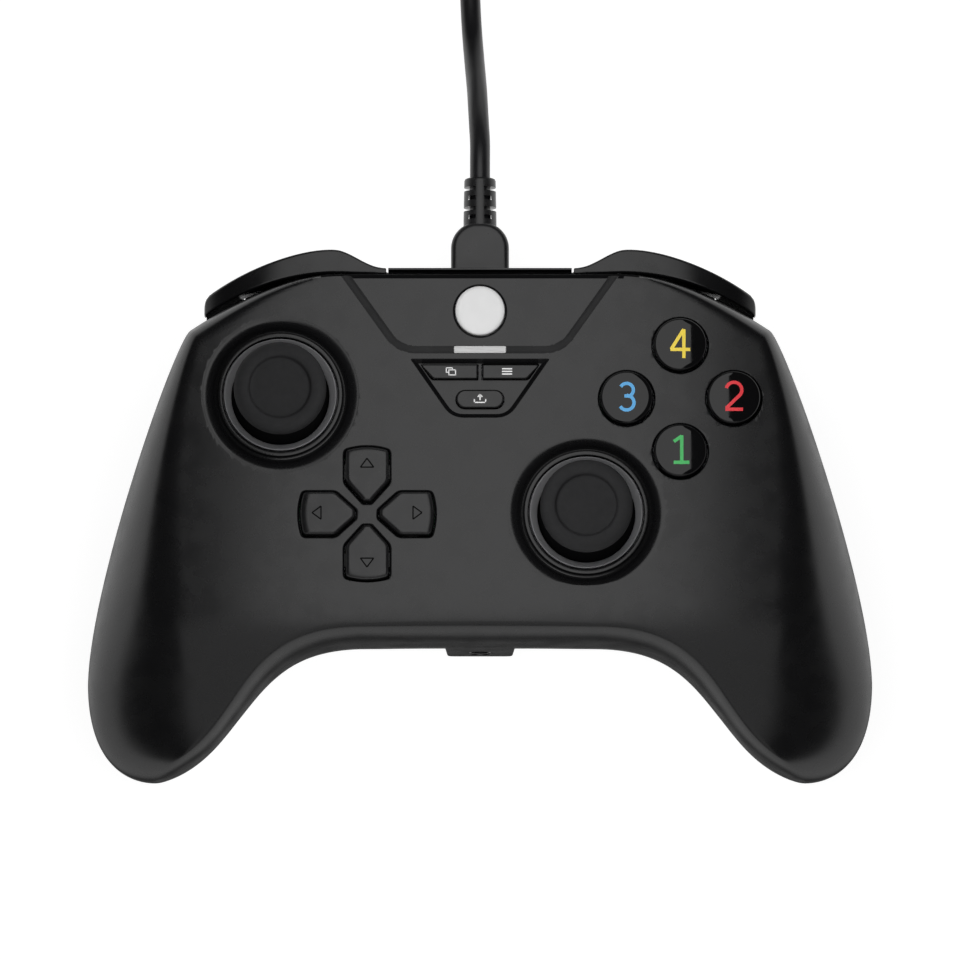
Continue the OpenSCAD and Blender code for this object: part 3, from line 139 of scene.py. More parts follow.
def within(loop: Sequence[Pair], x: float, y: float) -> bool:
    """Whether a point lies inside a loop.

    Args:
        loop: The loop's points.
        x: The point's place along X.
        y: Its place along Y.

    Returns:
        True where it does.
    """
    odd = False
    for (a, b), (c, d) in zip(loop, [*loop[1:], loop[0]]):
        if (b > y) != (d > y) and x < a + (y - b) / (d - b) * (c - a):
            odd = not odd
    return odd


def soften(corners: Sequence[Pair], radius: float | Sequence[float], steps: int = 6) -> Loop:
    """Round a polygon's corners.

    Args:
        corners: The polygon's corners in order.
        radius: How far from each corner the rounding starts, one value or one for each corner.
        steps: The number of edges in each rounding.

    Returns:
        The rounded loop.
    """
    made: Loop = []
    for i, p in enumerate(corners):
        r = radius if isinstance(radius, (int, float)) else radius[i]
        a, b = Vector(corners[i - 1]), Vector(corners[(i + 1) % len(corners)])
        c = Vector(p)
        if r <= 0:
            made.append((c.x, c.y))
            continue
        p0 = c + (a - c).normalized() * min(r, (a - c).length * 0.48)
        p2 = c + (b - c).normalized() * min(r, (b - c).length * 0.48)
        for k in range(steps + 1):
            t = k / steps
            q = p0 * (1 - t) ** 2 + c * 2 * t * (1 - t) + p2 * t * t
            made.append((q.x, q.y))
    return made


def mirrored_loop(loop: Sequence[Pair]) -> Loop:
    """A loop on the other side of the middle plane, turned the same way round."""
    return [(-x, y) for x, y in reversed(loop)]


def smooth_path(points: Sequence[Triple], steps: int) -> list[Triple]:
    """A curve through every point of a route.

    Args:
        points: The route.
        steps: The number of parts between two of its points.

    Returns:
        The curve's points.
    """
    made = []
    ends = [points[0], *points, points[-1]]
    for i in range(1, len(points)):
        p0, p1, p2, p3 = (Vector(ends[i + k]) for k in (-1, 0, 1, 2))
        for k in range(steps):
            t = k / steps
            q = 0.5 * (2 * p1 + (p2 - p0) * t + (2 * p0 - 5 * p1 + 4 * p2 - p3) * t * t
                       + (3 * p1 - p0 - 3 * p2 + p3) * t ** 3)
            made.append(tuple(q))
    return made + [tuple(points[-1])]


def srgb(code: str) -> tuple[float, float, float, float]:
    """Turn an sRGB hex colour into a linear one with full alpha."""
    parts = [int(code[k:k + 2], 16) / 255 for k in (1, 3, 5)]
    return (*(c / 12.92 if c <= 0.04045 else ((c + 0.055) / 1.055) ** 2.4 for c in parts), 1.0)


def add_node(tree: bpy.types.NodeTree, kind: str, links: dict, **settings: object) -> bpy.types.Node:
    """Add one node to a tree.

    Args:
        tree: The tree.
        kind: The node's type.
        links: What goes into each input, by name or number: an output socket or a value.
        **settings: The node's own settings.

    Returns:
        The node.
    """
    node = tree.nodes.new(kind)
    for name, value in settings.items():
        setattr(node, name, value)
    for key, value in links.items():
        if isinstance(value, bpy.types.NodeSocket):
            tree.links.new(value, node.inputs[key])
        else:
            node.inputs[key].default_value = value
    return node


@dataclass(frozen=True)
class Finish:
    """A material: what it is and how its surface was made.

    Attributes:
        name: The material's common name and its process.
        colour: Its colour as sRGB hex.
        roughness: How much it scatters reflections.
        mottle: The share by which its colour wanders.
        mottle_mm: The size of the patches of colour and of polish.
        grain_mm: The size of the surface grain.
        grain_deep_mm: The depth of the grain.
        polish: How far the roughness wanders up and down.
        metallic: 1 for a bare metal.
        specular: The level of the mirror-like reflection, 0.5 for the plain IOR.
        coat: The weight of a clear coat.
        wall_specular: The level of the reflection on steep walls, where it differs.
        stretch: How the patterns are scaled along X, Y and Z, for drawn or brushed surfaces.
    """

    name: str
    colour: str
    roughness: float
    mottle: float = 0.08
    mottle_mm: float = 7.0
    grain_mm: float = 0.5
    grain_deep_mm: float = 0.01
    polish: float = 0.04
    metallic: float = 0.0
    specular: float = 0.5
    coat: float = 0.0
    wall_specular: float | None = None
    stretch: Triple = (1.0, 1.0, 1.0)

    def tint(self, tree: bpy.types.NodeTree, place: bpy.types.NodeSocket) -> bpy.types.NodeSocket:
        """Draw the colour, wandering a little from patch to patch.

        Args:
            tree: The material's tree.
            place: The pattern's coordinates.

        Returns:
            The colour's socket.
        """
        cloud = add_node(tree, "ShaderNodeTexNoise",
                         {"Vector": place, "Scale": 1 / (self.mottle_mm * MM), "Detail": 3.0})
        base = srgb(self.colour)
        dark = tuple(c * (1 - self.mottle) for c in base[:3]) + (1.0,)
        light = tuple(min(1.0, c * (1 + self.mottle)) for c in base[:3]) + (1.0,)
        mix = add_node(tree, "ShaderNodeMix", {0: cloud.outputs["Fac"], 6: dark, 7: light}, data_type="RGBA")
        return mix.outputs[2]

    def material(self) -> bpy.types.Material:
        """Make the material, or find it where it is made already.

        Returns:
            The material.
        """
        found = bpy.data.materials.get(self.name)
        if found:
            return found
        made = bpy.data.materials.new(self.name)
        made.use_nodes = True
        tree = made.node_tree
        shader = tree.nodes["Principled BSDF"]
        shader.inputs["Metallic"].default_value = self.metallic
        shader.inputs["Specular IOR Level"].default_value = self.specular
        shader.inputs["Coat Weight"].default_value = self.coat
        if self.wall_specular is not None:
            facing = add_node(tree, "ShaderNodeNewGeometry", {})
            split = add_node(tree, "ShaderNodeSeparateXYZ", {0: facing.outputs["Normal"]})
            slope = add_node(tree, "ShaderNodeMath", {0: split.outputs["Z"]}, operation="ABSOLUTE")
            level = add_node(tree, "ShaderNodeMapRange", {
                "Value": slope.outputs[0], "From Min": 0.05, "From Max": 0.8, "To Min": self.wall_specular,
                "To Max": self.specular}, interpolation_type="SMOOTHERSTEP")
            tree.links.new(level.outputs["Result"], shader.inputs["Specular IOR Level"])
        where = add_node(tree, "ShaderNodeTexCoord", {})
        place = add_node(tree, "ShaderNodeMapping", {"Vector": where.outputs["Object"], "Scale": self.stretch})
        spot = place.outputs["Vector"]
        tree.links.new(self.tint(tree, spot), shader.inputs["Base Color"])
        wear = add_node(tree, "ShaderNodeTexNoise",
                        {"Vector": spot, "Scale": 1.7 / (self.mottle_mm * MM), "Detail": 5.0})
        gloss = add_node(tree, "ShaderNodeMapRange", {
            "Value": wear.outputs["Fac"], "From Min": 0.3, "From Max": 0.7,
            "To Min": max(0.0, self.roughness - self.polish), "To Max": self.roughness + self.polish})
        tree.links.new(gloss.outputs["Result"], shader.inputs["Roughness"])
        grain = add_node(tree, "ShaderNodeTexNoise",
                         {"Vector": spot, "Scale": 1 / (self.grain_mm * MM), "Detail": 4.0})
        relief = add_node(tree, "ShaderNodeBump",
                          {"Height": grain.outputs["Fac"], "Distance": self.grain_deep_mm * MM, "Strength": 1.0})
        tree.links.new(relief.outputs["Normal"], shader.inputs["Normal"])
        return made


@dataclass(frozen=True)
class BoardFinish(Finish):
    """A circuit board: copper tracks show as paler lines under the solder mask.

    Attributes:
        track: The colour of the mask over copper as sRGB hex.
        pitch_mm: The distance between tracks.
    """

    track: str = "#2f7a4c"
    pitch_mm: float = 1.6

    def tint(self, tree: bpy.types.NodeTree, place: bpy.types.NodeSocket) -> bpy.types.NodeSocket:
        """Draw tracks as the edges of square cells.

        Args:
            tree: The material's tree.
            place: The pattern's coordinates.

        Returns:
            The colour's socket.
        """
        cells = add_node(tree, "ShaderNodeTexVoronoi", {"Vector": place, "Scale": 1 / (self.pitch_mm * MM)},
                         distance="CHEBYCHEV", feature="F1")
        line = add_node(tree, "ShaderNodeMapRange",
                        {"Value": cells.outputs["Distance"], "From Min": 0.42, "From Max": 0.5})
        mix = add_node(tree, "ShaderNodeMix",
                       {0: line.outputs["Result"], 6: srgb(self.colour), 7: srgb(self.track)}, data_type="RGBA")
        return mix.outputs[2]


# Moulded and printed surfaces have a grain of about 0.05 to 0.1 mm, too fine to show in the render, so the finishes
# below draw it at 0.2 to 0.6 mm.

# ABS moulded in a spark-eroded tool: near black, with a soft satin reflection and a fine grain. The reflection is
# weaker on steep walls, so that they hardly mirror the bright table.
SHELL = Finish("abs_fine_spark_texture", "#111112", 0.27, grain_mm=0.35, grain_deep_mm=0.0015, wall_specular=0.001)
# The same ABS from a deeper spark texture: no clear reflection, so it stays darker than the face around it.
GROOVE = Finish("abs_coarse_spark_texture", "#121213", 0.62, grain_mm=0.3, grain_deep_mm=0.012, specular=0.4)
# The same ABS along the top edge behind the face, darker and without a clear reflection: painted shade, so that it
# reads as part of the dark gap.
EDGE_SHADE = Finish("abs_top_edge_painted_shade", "#0c0c0d", 0.8, grain_mm=0.4, grain_deep_mm=0.01, specular=0.03)
# ABS from a smoother tool face: the sheen of the shell with a little more gloss.
SATIN = Finish("abs_satin_moulded", "#111112", 0.25, grain_mm=0.6, grain_deep_mm=0.002)
# Acrylic caps from a mirror-polished tool: deep black, with hard-edged reflections and faint smears.
POLISHED = Finish("acrylic_polished_black", "#0b0b0c", 0.05, mottle_mm=2.5, polish=0.025, grain_mm=2.0,
                  grain_deep_mm=0.001, specular=0.4)
# ABS keys with a fine matte texture that fingers have polished in places.
KEY = Finish("abs_matte_key_texture", "#131314", 0.3, mottle_mm=4.0, grain_mm=0.3, grain_deep_mm=0.003)
# Polycarbonate with a pearl pigment: milky and glossy.
PEARL = Finish("polycarbonate_pearl_gloss", "#dadada", 0.16, mottle=0.04, mottle_mm=3.0, grain_mm=1.0,
               grain_deep_mm=0.002, coat=0.3)
# Opal acrylic with a frosted face, which spreads light evenly.
OPAL = Finish("acrylic_opal_frosted", "#c2c2c2", 0.45, mottle=0.03, mottle_mm=2.0, grain_mm=0.2, grain_deep_mm=0.004)
# Soft-touch silicone rubber: dull, without a clear reflection, and slightly dusty.
RUBBER = Finish("silicone_soft_touch_rubber", "#202021", 0.78, mottle=0.12, mottle_mm=2.0, grain_mm=0.25,
                grain_deep_mm=0.012, specular=0.3)
# Acetal rings from a fine tool: mid grey and waxy, worn smooth where the necks rub.
ACETAL = Finish("acetal_moulded_grey", "#8c8c8e", 0.7, mottle_mm=3.0, grain_mm=0.4, grain_deep_mm=0.003, specular=0.3)
# The skirts under the caps: black rubber with hardly any sheen, painted darker than the caps' own rubber so that they
# read as shade: painted shade under the caps.
SKIRT_SHADE = Finish("silicone_black_painted_shade", "#070708", 0.9, mottle_mm=2.0, grain_mm=0.3, grain_deep_mm=0.01,
               specular=0.1)
# Printed ink under a clear lacquer: flat colour with a slight gloss.
INKS = {
    "south": Finish("printed_ink_green", "#3cb45c", 0.3, mottle=0.04, mottle_mm=1.0, grain_mm=0.2),
    "east": Finish("printed_ink_red", "#e6303a", 0.3, mottle=0.04, mottle_mm=1.0, grain_mm=0.2),
    "west": Finish("printed_ink_blue", "#4da3dc", 0.3, mottle=0.04, mottle_mm=1.0, grain_mm=0.2),
    "north": Finish("printed_ink_yellow", "#f2d53c", 0.3, mottle=0.04, mottle_mm=1.0, grain_mm=0.2),
}
WHITE_INK = Finish("printed_ink_white", "#e9e9e9", 0.4, mottle=0.03, mottle_mm=1.0, grain_mm=0.2)
# The engraved triangles on the direction keys, drawn as a flat dark matte line: painted shade of the engraving.
ENGRAVING_SHADE = Finish("engraving_painted_shade_black", "#050505", 0.8, mottle=0.05, mottle_mm=1.0, grain_mm=0.2, specular=0.05)
# Silicone keypad sheets: pale grey and matte.
SILICONE = Finish("silicone_keypad_grey", "#b4b6ba", 0.6, mottle_mm=5.0)
# Glass-epoxy board under green solder mask.
BOARD = BoardFinish("glass_epoxy_solder_mask", "#123d26", 0.3, grain_mm=0.3, grain_deep_mm=0.01)
# Glass-filled nylon bodies of switches and sensors: black with a faint fibre grain.
NYLON_BLACK = Finish("glass_filled_nylon_black", "#161617", 0.5, grain_mm=0.3, grain_deep_mm=0.01)
# Natural acetal of the stick mechanism: off-white and waxy.
NYLON = Finish("acetal_natural_white", "#dedcd6", 0.4, mottle=0.04)
# Phenolic bodies of the potentiometers.
PHENOLIC = Finish("phenolic_moulded_green", "#2f5f3a", 0.5)
# Drawn steel: bright, with fine lines along its length.
STEEL = Finish("steel_bright_drawn", "#b3b5ba", 0.28, mottle=0.05, metallic=1.0, grain_mm=0.15,
               grain_deep_mm=0.003, stretch=(0.15, 1.0, 1.0))
# Stamped steel sheet with a tin plating: pale and slightly cloudy.
TINNED = Finish("steel_tin_plated", "#c4c6c9", 0.32, mottle=0.06, mottle_mm=3.0, metallic=1.0)
# Sintered brass weights: dull yellow with open pores.
SINTERED = Finish("brass_sintered", "#9c8a55", 0.5, metallic=1.0, grain_mm=0.25, grain_deep_mm=0.02)
# Extruded PVC jacket: black, soft and satin.
JACKET = Finish("pvc_extruded_jacket", "#161618", 0.38, mottle_mm=9.0, grain_mm=0.5, grain_deep_mm=0.006)
# PVC moulded over the plugs: the same black, a little duller.
OVERMOULD = Finish("pvc_overmoulded", "#1f1f20", 0.3, mottle_mm=5.0, grain_mm=0.35, grain_deep_mm=0.004)
# Woven hook-and-loop strap: dull black with a coarse nap, drawn coarser than the real 0.2 mm to show.
STRAP = Finish("nylon_hook_and_loop_strap", "#101011", 0.9, mottle_mm=1.5, grain_mm=0.6, grain_deep_mm=0.12,
               specular=0.2)

# The finishes of the slots whose solids are kept.
SLOT_FINISHES = {
    "dome_rubber": SILICONE, "circuit_board": BOARD, "component_black": NYLON_BLACK, "nylon": NYLON,
    "pot_green": PHENOLIC, "steel": STEEL, "plated_sheet": TINNED, "weight_brass": SINTERED,
}


@dataclass
class Solid:
    """A closed mesh in millimetres while it is put together.

    Attributes:
        points: The mesh's points.
        faces: The points of each face, by number.
    """

    points: list[Triple] = field(default_factory=list)
    faces: list[tuple[int, ...]] = field(default_factory=list)

    def plus(self, *others: "Solid") -> "Solid":
        """This solid and others as one.

        Args:
            *others: The other solids.

        Returns:
            A new solid.
        """
        made = Solid(list(self.points), list(self.faces))
        for other in others:
            base = len(made.points)
            made.points += other.points
            made.faces += [tuple(base + i for i in face) for face in other.faces]
        return made

    def mapped(self, change: Callable[[float, float, float], Triple]) -> "Solid":
        """A copy with every point moved by a function of its place."""
        return Solid([change(*p) for p in self.points], self.faces)

    def moved(self, x: float = 0.0, y: float = 0.0, z: float = 0.0) -> "Solid":
        """A copy moved by a distance."""
        return self.mapped(lambda a, b, c: (a + x, b + y, c + z))

    def turned(self, degrees: float) -> "Solid":
        """A copy turned about the Z axis."""
        c, s = math.cos(math.radians(degrees)), math.sin(math.radians(degrees))
        return self.mapped(lambda x, y, z: (x * c - y * s, x * s + y * c, z))

    def handed(self, hand: Hand) -> "Solid":
        """A copy on the given side, from a solid drawn on the right."""
        return self.mapped(lambda x, y, z: (x * hand.value, y, z))

    def lying(self) -> "Solid":
        """A copy whose height runs along Y and whose Y runs down along Z."""
        return self.mapped(lambda x, y, z: (x, z, -y))

    def sideways(self) -> "Solid":
        """A copy whose height runs along X, with its X along Y and its Y along Z."""
        return self.mapped(lambda x, y, z: (z, x, y))

    def as_object(self, name: str, finish: Finish, crease: float = 38.0) -> bpy.types.Object:
        """Make a Blender object.

        Args:
            name: The object's name.
            finish: Its material.
            crease: The angle in degrees above which an edge stays sharp.

        Returns:
            The object, linked to the scene.
        """
        mesh = bpy.data.meshes.new(name)
        mesh.from_pydata([tuple(c * MM for c in p) for p in self.points], [], self.faces)
        mesh.materials.append(finish.material())
        piece = bpy.data.objects.new(name, mesh)
        bpy.context.scene.collection.objects.link(piece)
        settle(piece, crease)
        return piece


def settle(piece: bpy.types.Object, crease: float = 38.0) -> None:
    """Clean a piece's mesh, turn its faces outwards and shade it.

    Args:
        piece: The piece.
        crease: The angle in degrees above which an edge stays sharp.
    """
    mesh = bmesh.new()
    mesh.from_mesh(piece.data)
    bmesh.ops.remove_doubles(mesh, verts=mesh.verts, dist=2e-7)
    bmesh.ops.recalc_face_normals(mesh, faces=mesh.faces)
    for face in mesh.faces:
        face.smooth = True
    for edge in mesh.edges:
        edge.smooth = edge.calc_face_angle(math.pi) < math.radians(crease)
    mesh.to_mesh(piece.data)
    mesh.free()
    if "even_shade" not in piece.modifiers:
        shade = piece.modifiers.new("even_shade", "WEIGHTED_NORMAL")
        shade.keep_sharp = True


def loft(rings: Sequence[Sequence[Triple]], closed: bool = False) -> Solid:
    """Join rings of equally many points into a skin.

    Args:
        rings: The rings in order.
        closed: Whether the last ring joins the first; otherwise both ends are capped.

    Returns:
        The solid.
    """
    n, count = len(rings[0]), len(rings)
    points = [tuple(p) for ring in rings for p in ring]
    faces: list[tuple[int, ...]] = []
    for i in range(count if closed else count - 1):
        a, b = i * n, (i + 1) % count * n
        faces += [(a + k, a + (k + 1) % n, b + (k + 1) % n, b + k) for k in range(n)]
    if not closed:
        faces += [tuple(range(n)), tuple(range((count - 1) * n, count * n))]
    return Solid(points, faces)


def stack(levels: Sequence[tuple[Sequence[Pair], float]]) -> Solid:
    """A solid of level loops, each with its height."""
    return loft([[(x, y, z) for x, y in loop] for loop, z in levels])


def lathe(profile: Sequence[Pair], steps: int = 72) -> Solid:
    """Turn a closed profile of radius and height about the Z axis.

    Args:
        profile: The profile's points.
        steps: The number of sides.

    Returns:
        The solid.
    """
    turns = [2 * math.pi * i / steps for i in range(steps)]
    made = loft([[(r * math.cos(a), r * math.sin(a), z) for r, z in profile] for a in turns], closed=True)
    n = len(profile)
    on_axis = [profile[k][0] == 0 and profile[(k + 1) % n][0] == 0 for k in range(n)]
    return Solid(made.points, [face for i, face in enumerate(made.faces) if not on_axis[i % n]])


def block(low: Triple, high: Triple) -> Solid:
    """A box between two corners, for tabs, tools and the far plug's tongue."""
    loop = [(low[0], low[1]), (high[0], low[1]), (high[0], high[1]), (low[0], high[1])]
    return stack([(loop, low[2]), (loop, high[2])])


def pad(outline: Callable[[float], Loop], low: float, high: float, top: float = 0.4, bottom: float = 0.0,
        steps: int = 5) -> Solid:
    """A prism with rounded edges.

    Args:
        outline: Its outline, counter-clockwise, grown by a distance.
        low: Its lower height.
        high: Its upper height.
        top: The radius of its upper edge.
        bottom: The radius of its lower edge.
        steps: The number of bands in each rounding.

    Returns:
        The solid.
    """
    turns = [math.pi / 2 * k / steps for k in range(steps + 1)]
    levels = []
    if bottom > 0:
        levels.append((outline(-bottom - FLAT), low))
        levels += [(outline(bottom * (math.sin(a) - 1)), low + bottom * (1 - math.cos(a))) for a in turns]
    else:
        levels.append((outline(0.0), low))
    levels += [(outline(top * (math.cos(a) - 1)), high - top + top * math.sin(a)) for a in turns]
    if top > 0:
        levels.append((outline(-top - FLAT), high))
    return stack(levels)


def rail(section: Callable[[float], Loop], start: float, end: float, ends: Pair, steps: int = 40) -> Solid:
    """A solid along X whose section may change, with rounded ends.

    Args:
        section: The outline across Y and Z at a place along X, counter-clockwise.
        start: Where it starts.
        end: Where it ends.
        ends: The radius of the rounding at its start and at its end.
        steps: The number of parts between the roundings.

    Returns:
        The solid.
    """
    turns = [math.pi / 2 * k / 5 for k in range(6)]
    a, b = ends
    marks = [(start, a + FLAT)] + [(start + a * (1 - math.cos(t)), a * (1 - math.sin(t))) for t in turns]
    marks += [(between(start + a, end - b, k / steps), 0.0) for k in range(1, steps)]
    marks += [(end - b * (1 - math.cos(t)), b * (1 - math.sin(t))) for t in reversed(turns)] + [(end, b + FLAT)]
    return loft([[(x, y, z) for y, z in inset(section(x), by)] for x, by in marks])


def height_on(line: Sequence[Pair], x: float) -> float:
    """The second value of a line at a first value, between its points.

    Args:
        line: The line's points in order.
        x: The first value.

    Returns:
        The second value.
    """
    for (a, b), (c, d) in zip(line, line[1:]):
        if x <= c:
            return between(b, d, max(0.0, (x - a) / (c - a))) if c > a else d
    return line[-1][1]


def well(loop: Sequence[Pair], low: float, face: float, rim: float) -> Solid:
    """A tool for a hole in a face, which leaves a rounded rim.

    Args:
        loop: The hole's outline, counter-clockwise.
        low: The height of its bottom.
        face: The height of the face.
        rim: The radius of the rim.

    Returns:
        The tool, ending just above the face.
    """
    over, last = 0.05, math.radians(75)
    turns = [last * k / 5 for k in range(6)]
    levels = [(list(loop), low)]
    levels += [(inset(loop, -rim * (1 - math.cos(a))), face - rim + rim * math.sin(a)) for a in turns]
    out = rim * (1 - math.cos(last)) + (over + rim * (1 - math.sin(last))) * math.tan(last)
    return stack(levels + [(inset(loop, -out), face + over)])


def tube(path: Sequence[Triple], radius: float | Sequence[float], sides: int = 12) -> Solid:
    """A round tube along a path.

    Args:
        path: The points it follows.
        radius: Its radius, one value or one for each point.
        sides: The number of sides.

    Returns:
        The solid.
    """
    spots = [Vector(p) for p in path]
    rings = []
    side = None
    for i, p in enumerate(spots):
        ahead = (spots[min(i + 1, len(spots) - 1)] - spots[max(i - 1, 0)]).normalized()
        side = side or ahead.orthogonal()
        side = (side - ahead * side.dot(ahead)).normalized()
        up = ahead.cross(side)
        r = radius if isinstance(radius, (int, float)) else radius[i]
        turns = [2 * math.pi * k / sides for k in range(sides)]
        rings.append([tuple(p + side * (r * math.cos(a)) + up * (r * math.sin(a))) for a in turns])
    return loft(rings)


def ribbon(path: Sequence[Pair], width: float, height: Callable[[float, float], float], thick: float = 0.06) -> Solid:
    """A flat printed line that lies on a surface.

    Args:
        path: The middle of the line.
        width: Its width.
        height: The surface's height at a place.
        thick: How thick the line is, half of it under the surface.

    Returns:
        The solid.
    """
    rings = []
    for i, p in enumerate(path):
        a, b = Vector(path[max(i - 1, 0)]), Vector(path[min(i + 1, len(path) - 1)])
        d = (b - a).normalized() * (width / 2)
        left, right = (p[0] - d.y, p[1] + d.x), (p[0] + d.y, p[1] - d.x)
        rings.append([(x, y, height(x, y) + z) for (x, y), z in (
            (left, -thick / 2), (right, -thick / 2), (right, thick / 2), (left, thick / 2))])
    return loft(rings)


def carve(piece: bpy.types.Object, tools: Iterable[Solid], how: Cut) -> None:
    """Cut tools from a piece, or join them to it.

    Args:
        piece: The piece, which gets a new mesh.
        tools: The closed solids.
        how: What the tools do.
    """
    group = bpy.data.collections.new("tools")
    scene = bpy.context.scene
    scene.collection.children.link(group)
    made = [tool.as_object(f"tool_{k}", SHELL) for k, tool in enumerate(tools)]
    for tool in made:
        scene.collection.objects.unlink(tool)
        group.objects.link(tool)
        tool.modifiers.clear()
    piece.modifiers.clear()
    cut = piece.modifiers.new("carve", "BOOLEAN")
    cut.operation = how.value
    cut.operand_type = "COLLECTION"
    cut.collection = group
    cut.solver = "MANIFOLD"
    result = bpy.data.meshes.new_from_object(piece.evaluated_get(bpy.context.evaluated_depsgraph_get()))
    piece.modifiers.clear()
    old, piece.data = piece.data, result
    bpy.data.meshes.remove(old)
    for tool in made:
        bpy.data.meshes.remove(tool.data)
    bpy.data.collections.remove(group)
    settle(piece)


def fit(piece: bpy.types.Object, body: str, slot: str, *nodes: str) -> bpy.types.Object:
    """Put a piece on the frame.

    Args:
        piece: The piece, in place.
        body: The body it rides on.
        slot: The record's material slot of its finish; not used.
        *nodes: The CAD nodes it stands for.

    Returns:
        The piece.
    """
    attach(piece, body)
    if nodes:
        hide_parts(*nodes)
    LOG.info("%s rides %s", piece.name, body)
    return piece


@dataclass(frozen=True)
class Plan:
    """Places in millimetres that several sub-assemblies share.

    Attributes:
        face_z: Height of the flat face.
        inside_z: Height of the face's inner side.
        top_y: Place of the casing's top edge.
        back_y: Place of the back of the bumpers.
        arch_y: Place of the arch between the grips.
        seam_z: Height of the seam along the top edge.
        key_base_z: Height of the underside of keys and buttons.
        plunger_z: Height of the foot of their plungers.
        port_z: Height of the socket for the lead.
        jack_z: Height of the headset jack.
        sticks: Places of the two thumb sticks.
        pivot_z: Height of their pivots.
        gap: Gap around keys and caps.
    """

    face_z: float = 44.0
    inside_z: float = 42.0
    top_y: float = 46.0
    back_y: float = 51.4
    arch_y: float = -25.7
    seam_z: float = 28.0
    key_base_z: float = 40.0
    plunger_z: float = 39.5
    port_z: float = 22.05
    jack_z: float = 16.0
    sticks: tuple[tuple[Hand, Pair], ...] = ((Hand.LEFT, (-39.1, 21.5)), (Hand.RIGHT, (20.8, -1.8)))
    pivot_z: float = 30.0
    gap: float = 0.25


PLAN = Plan()


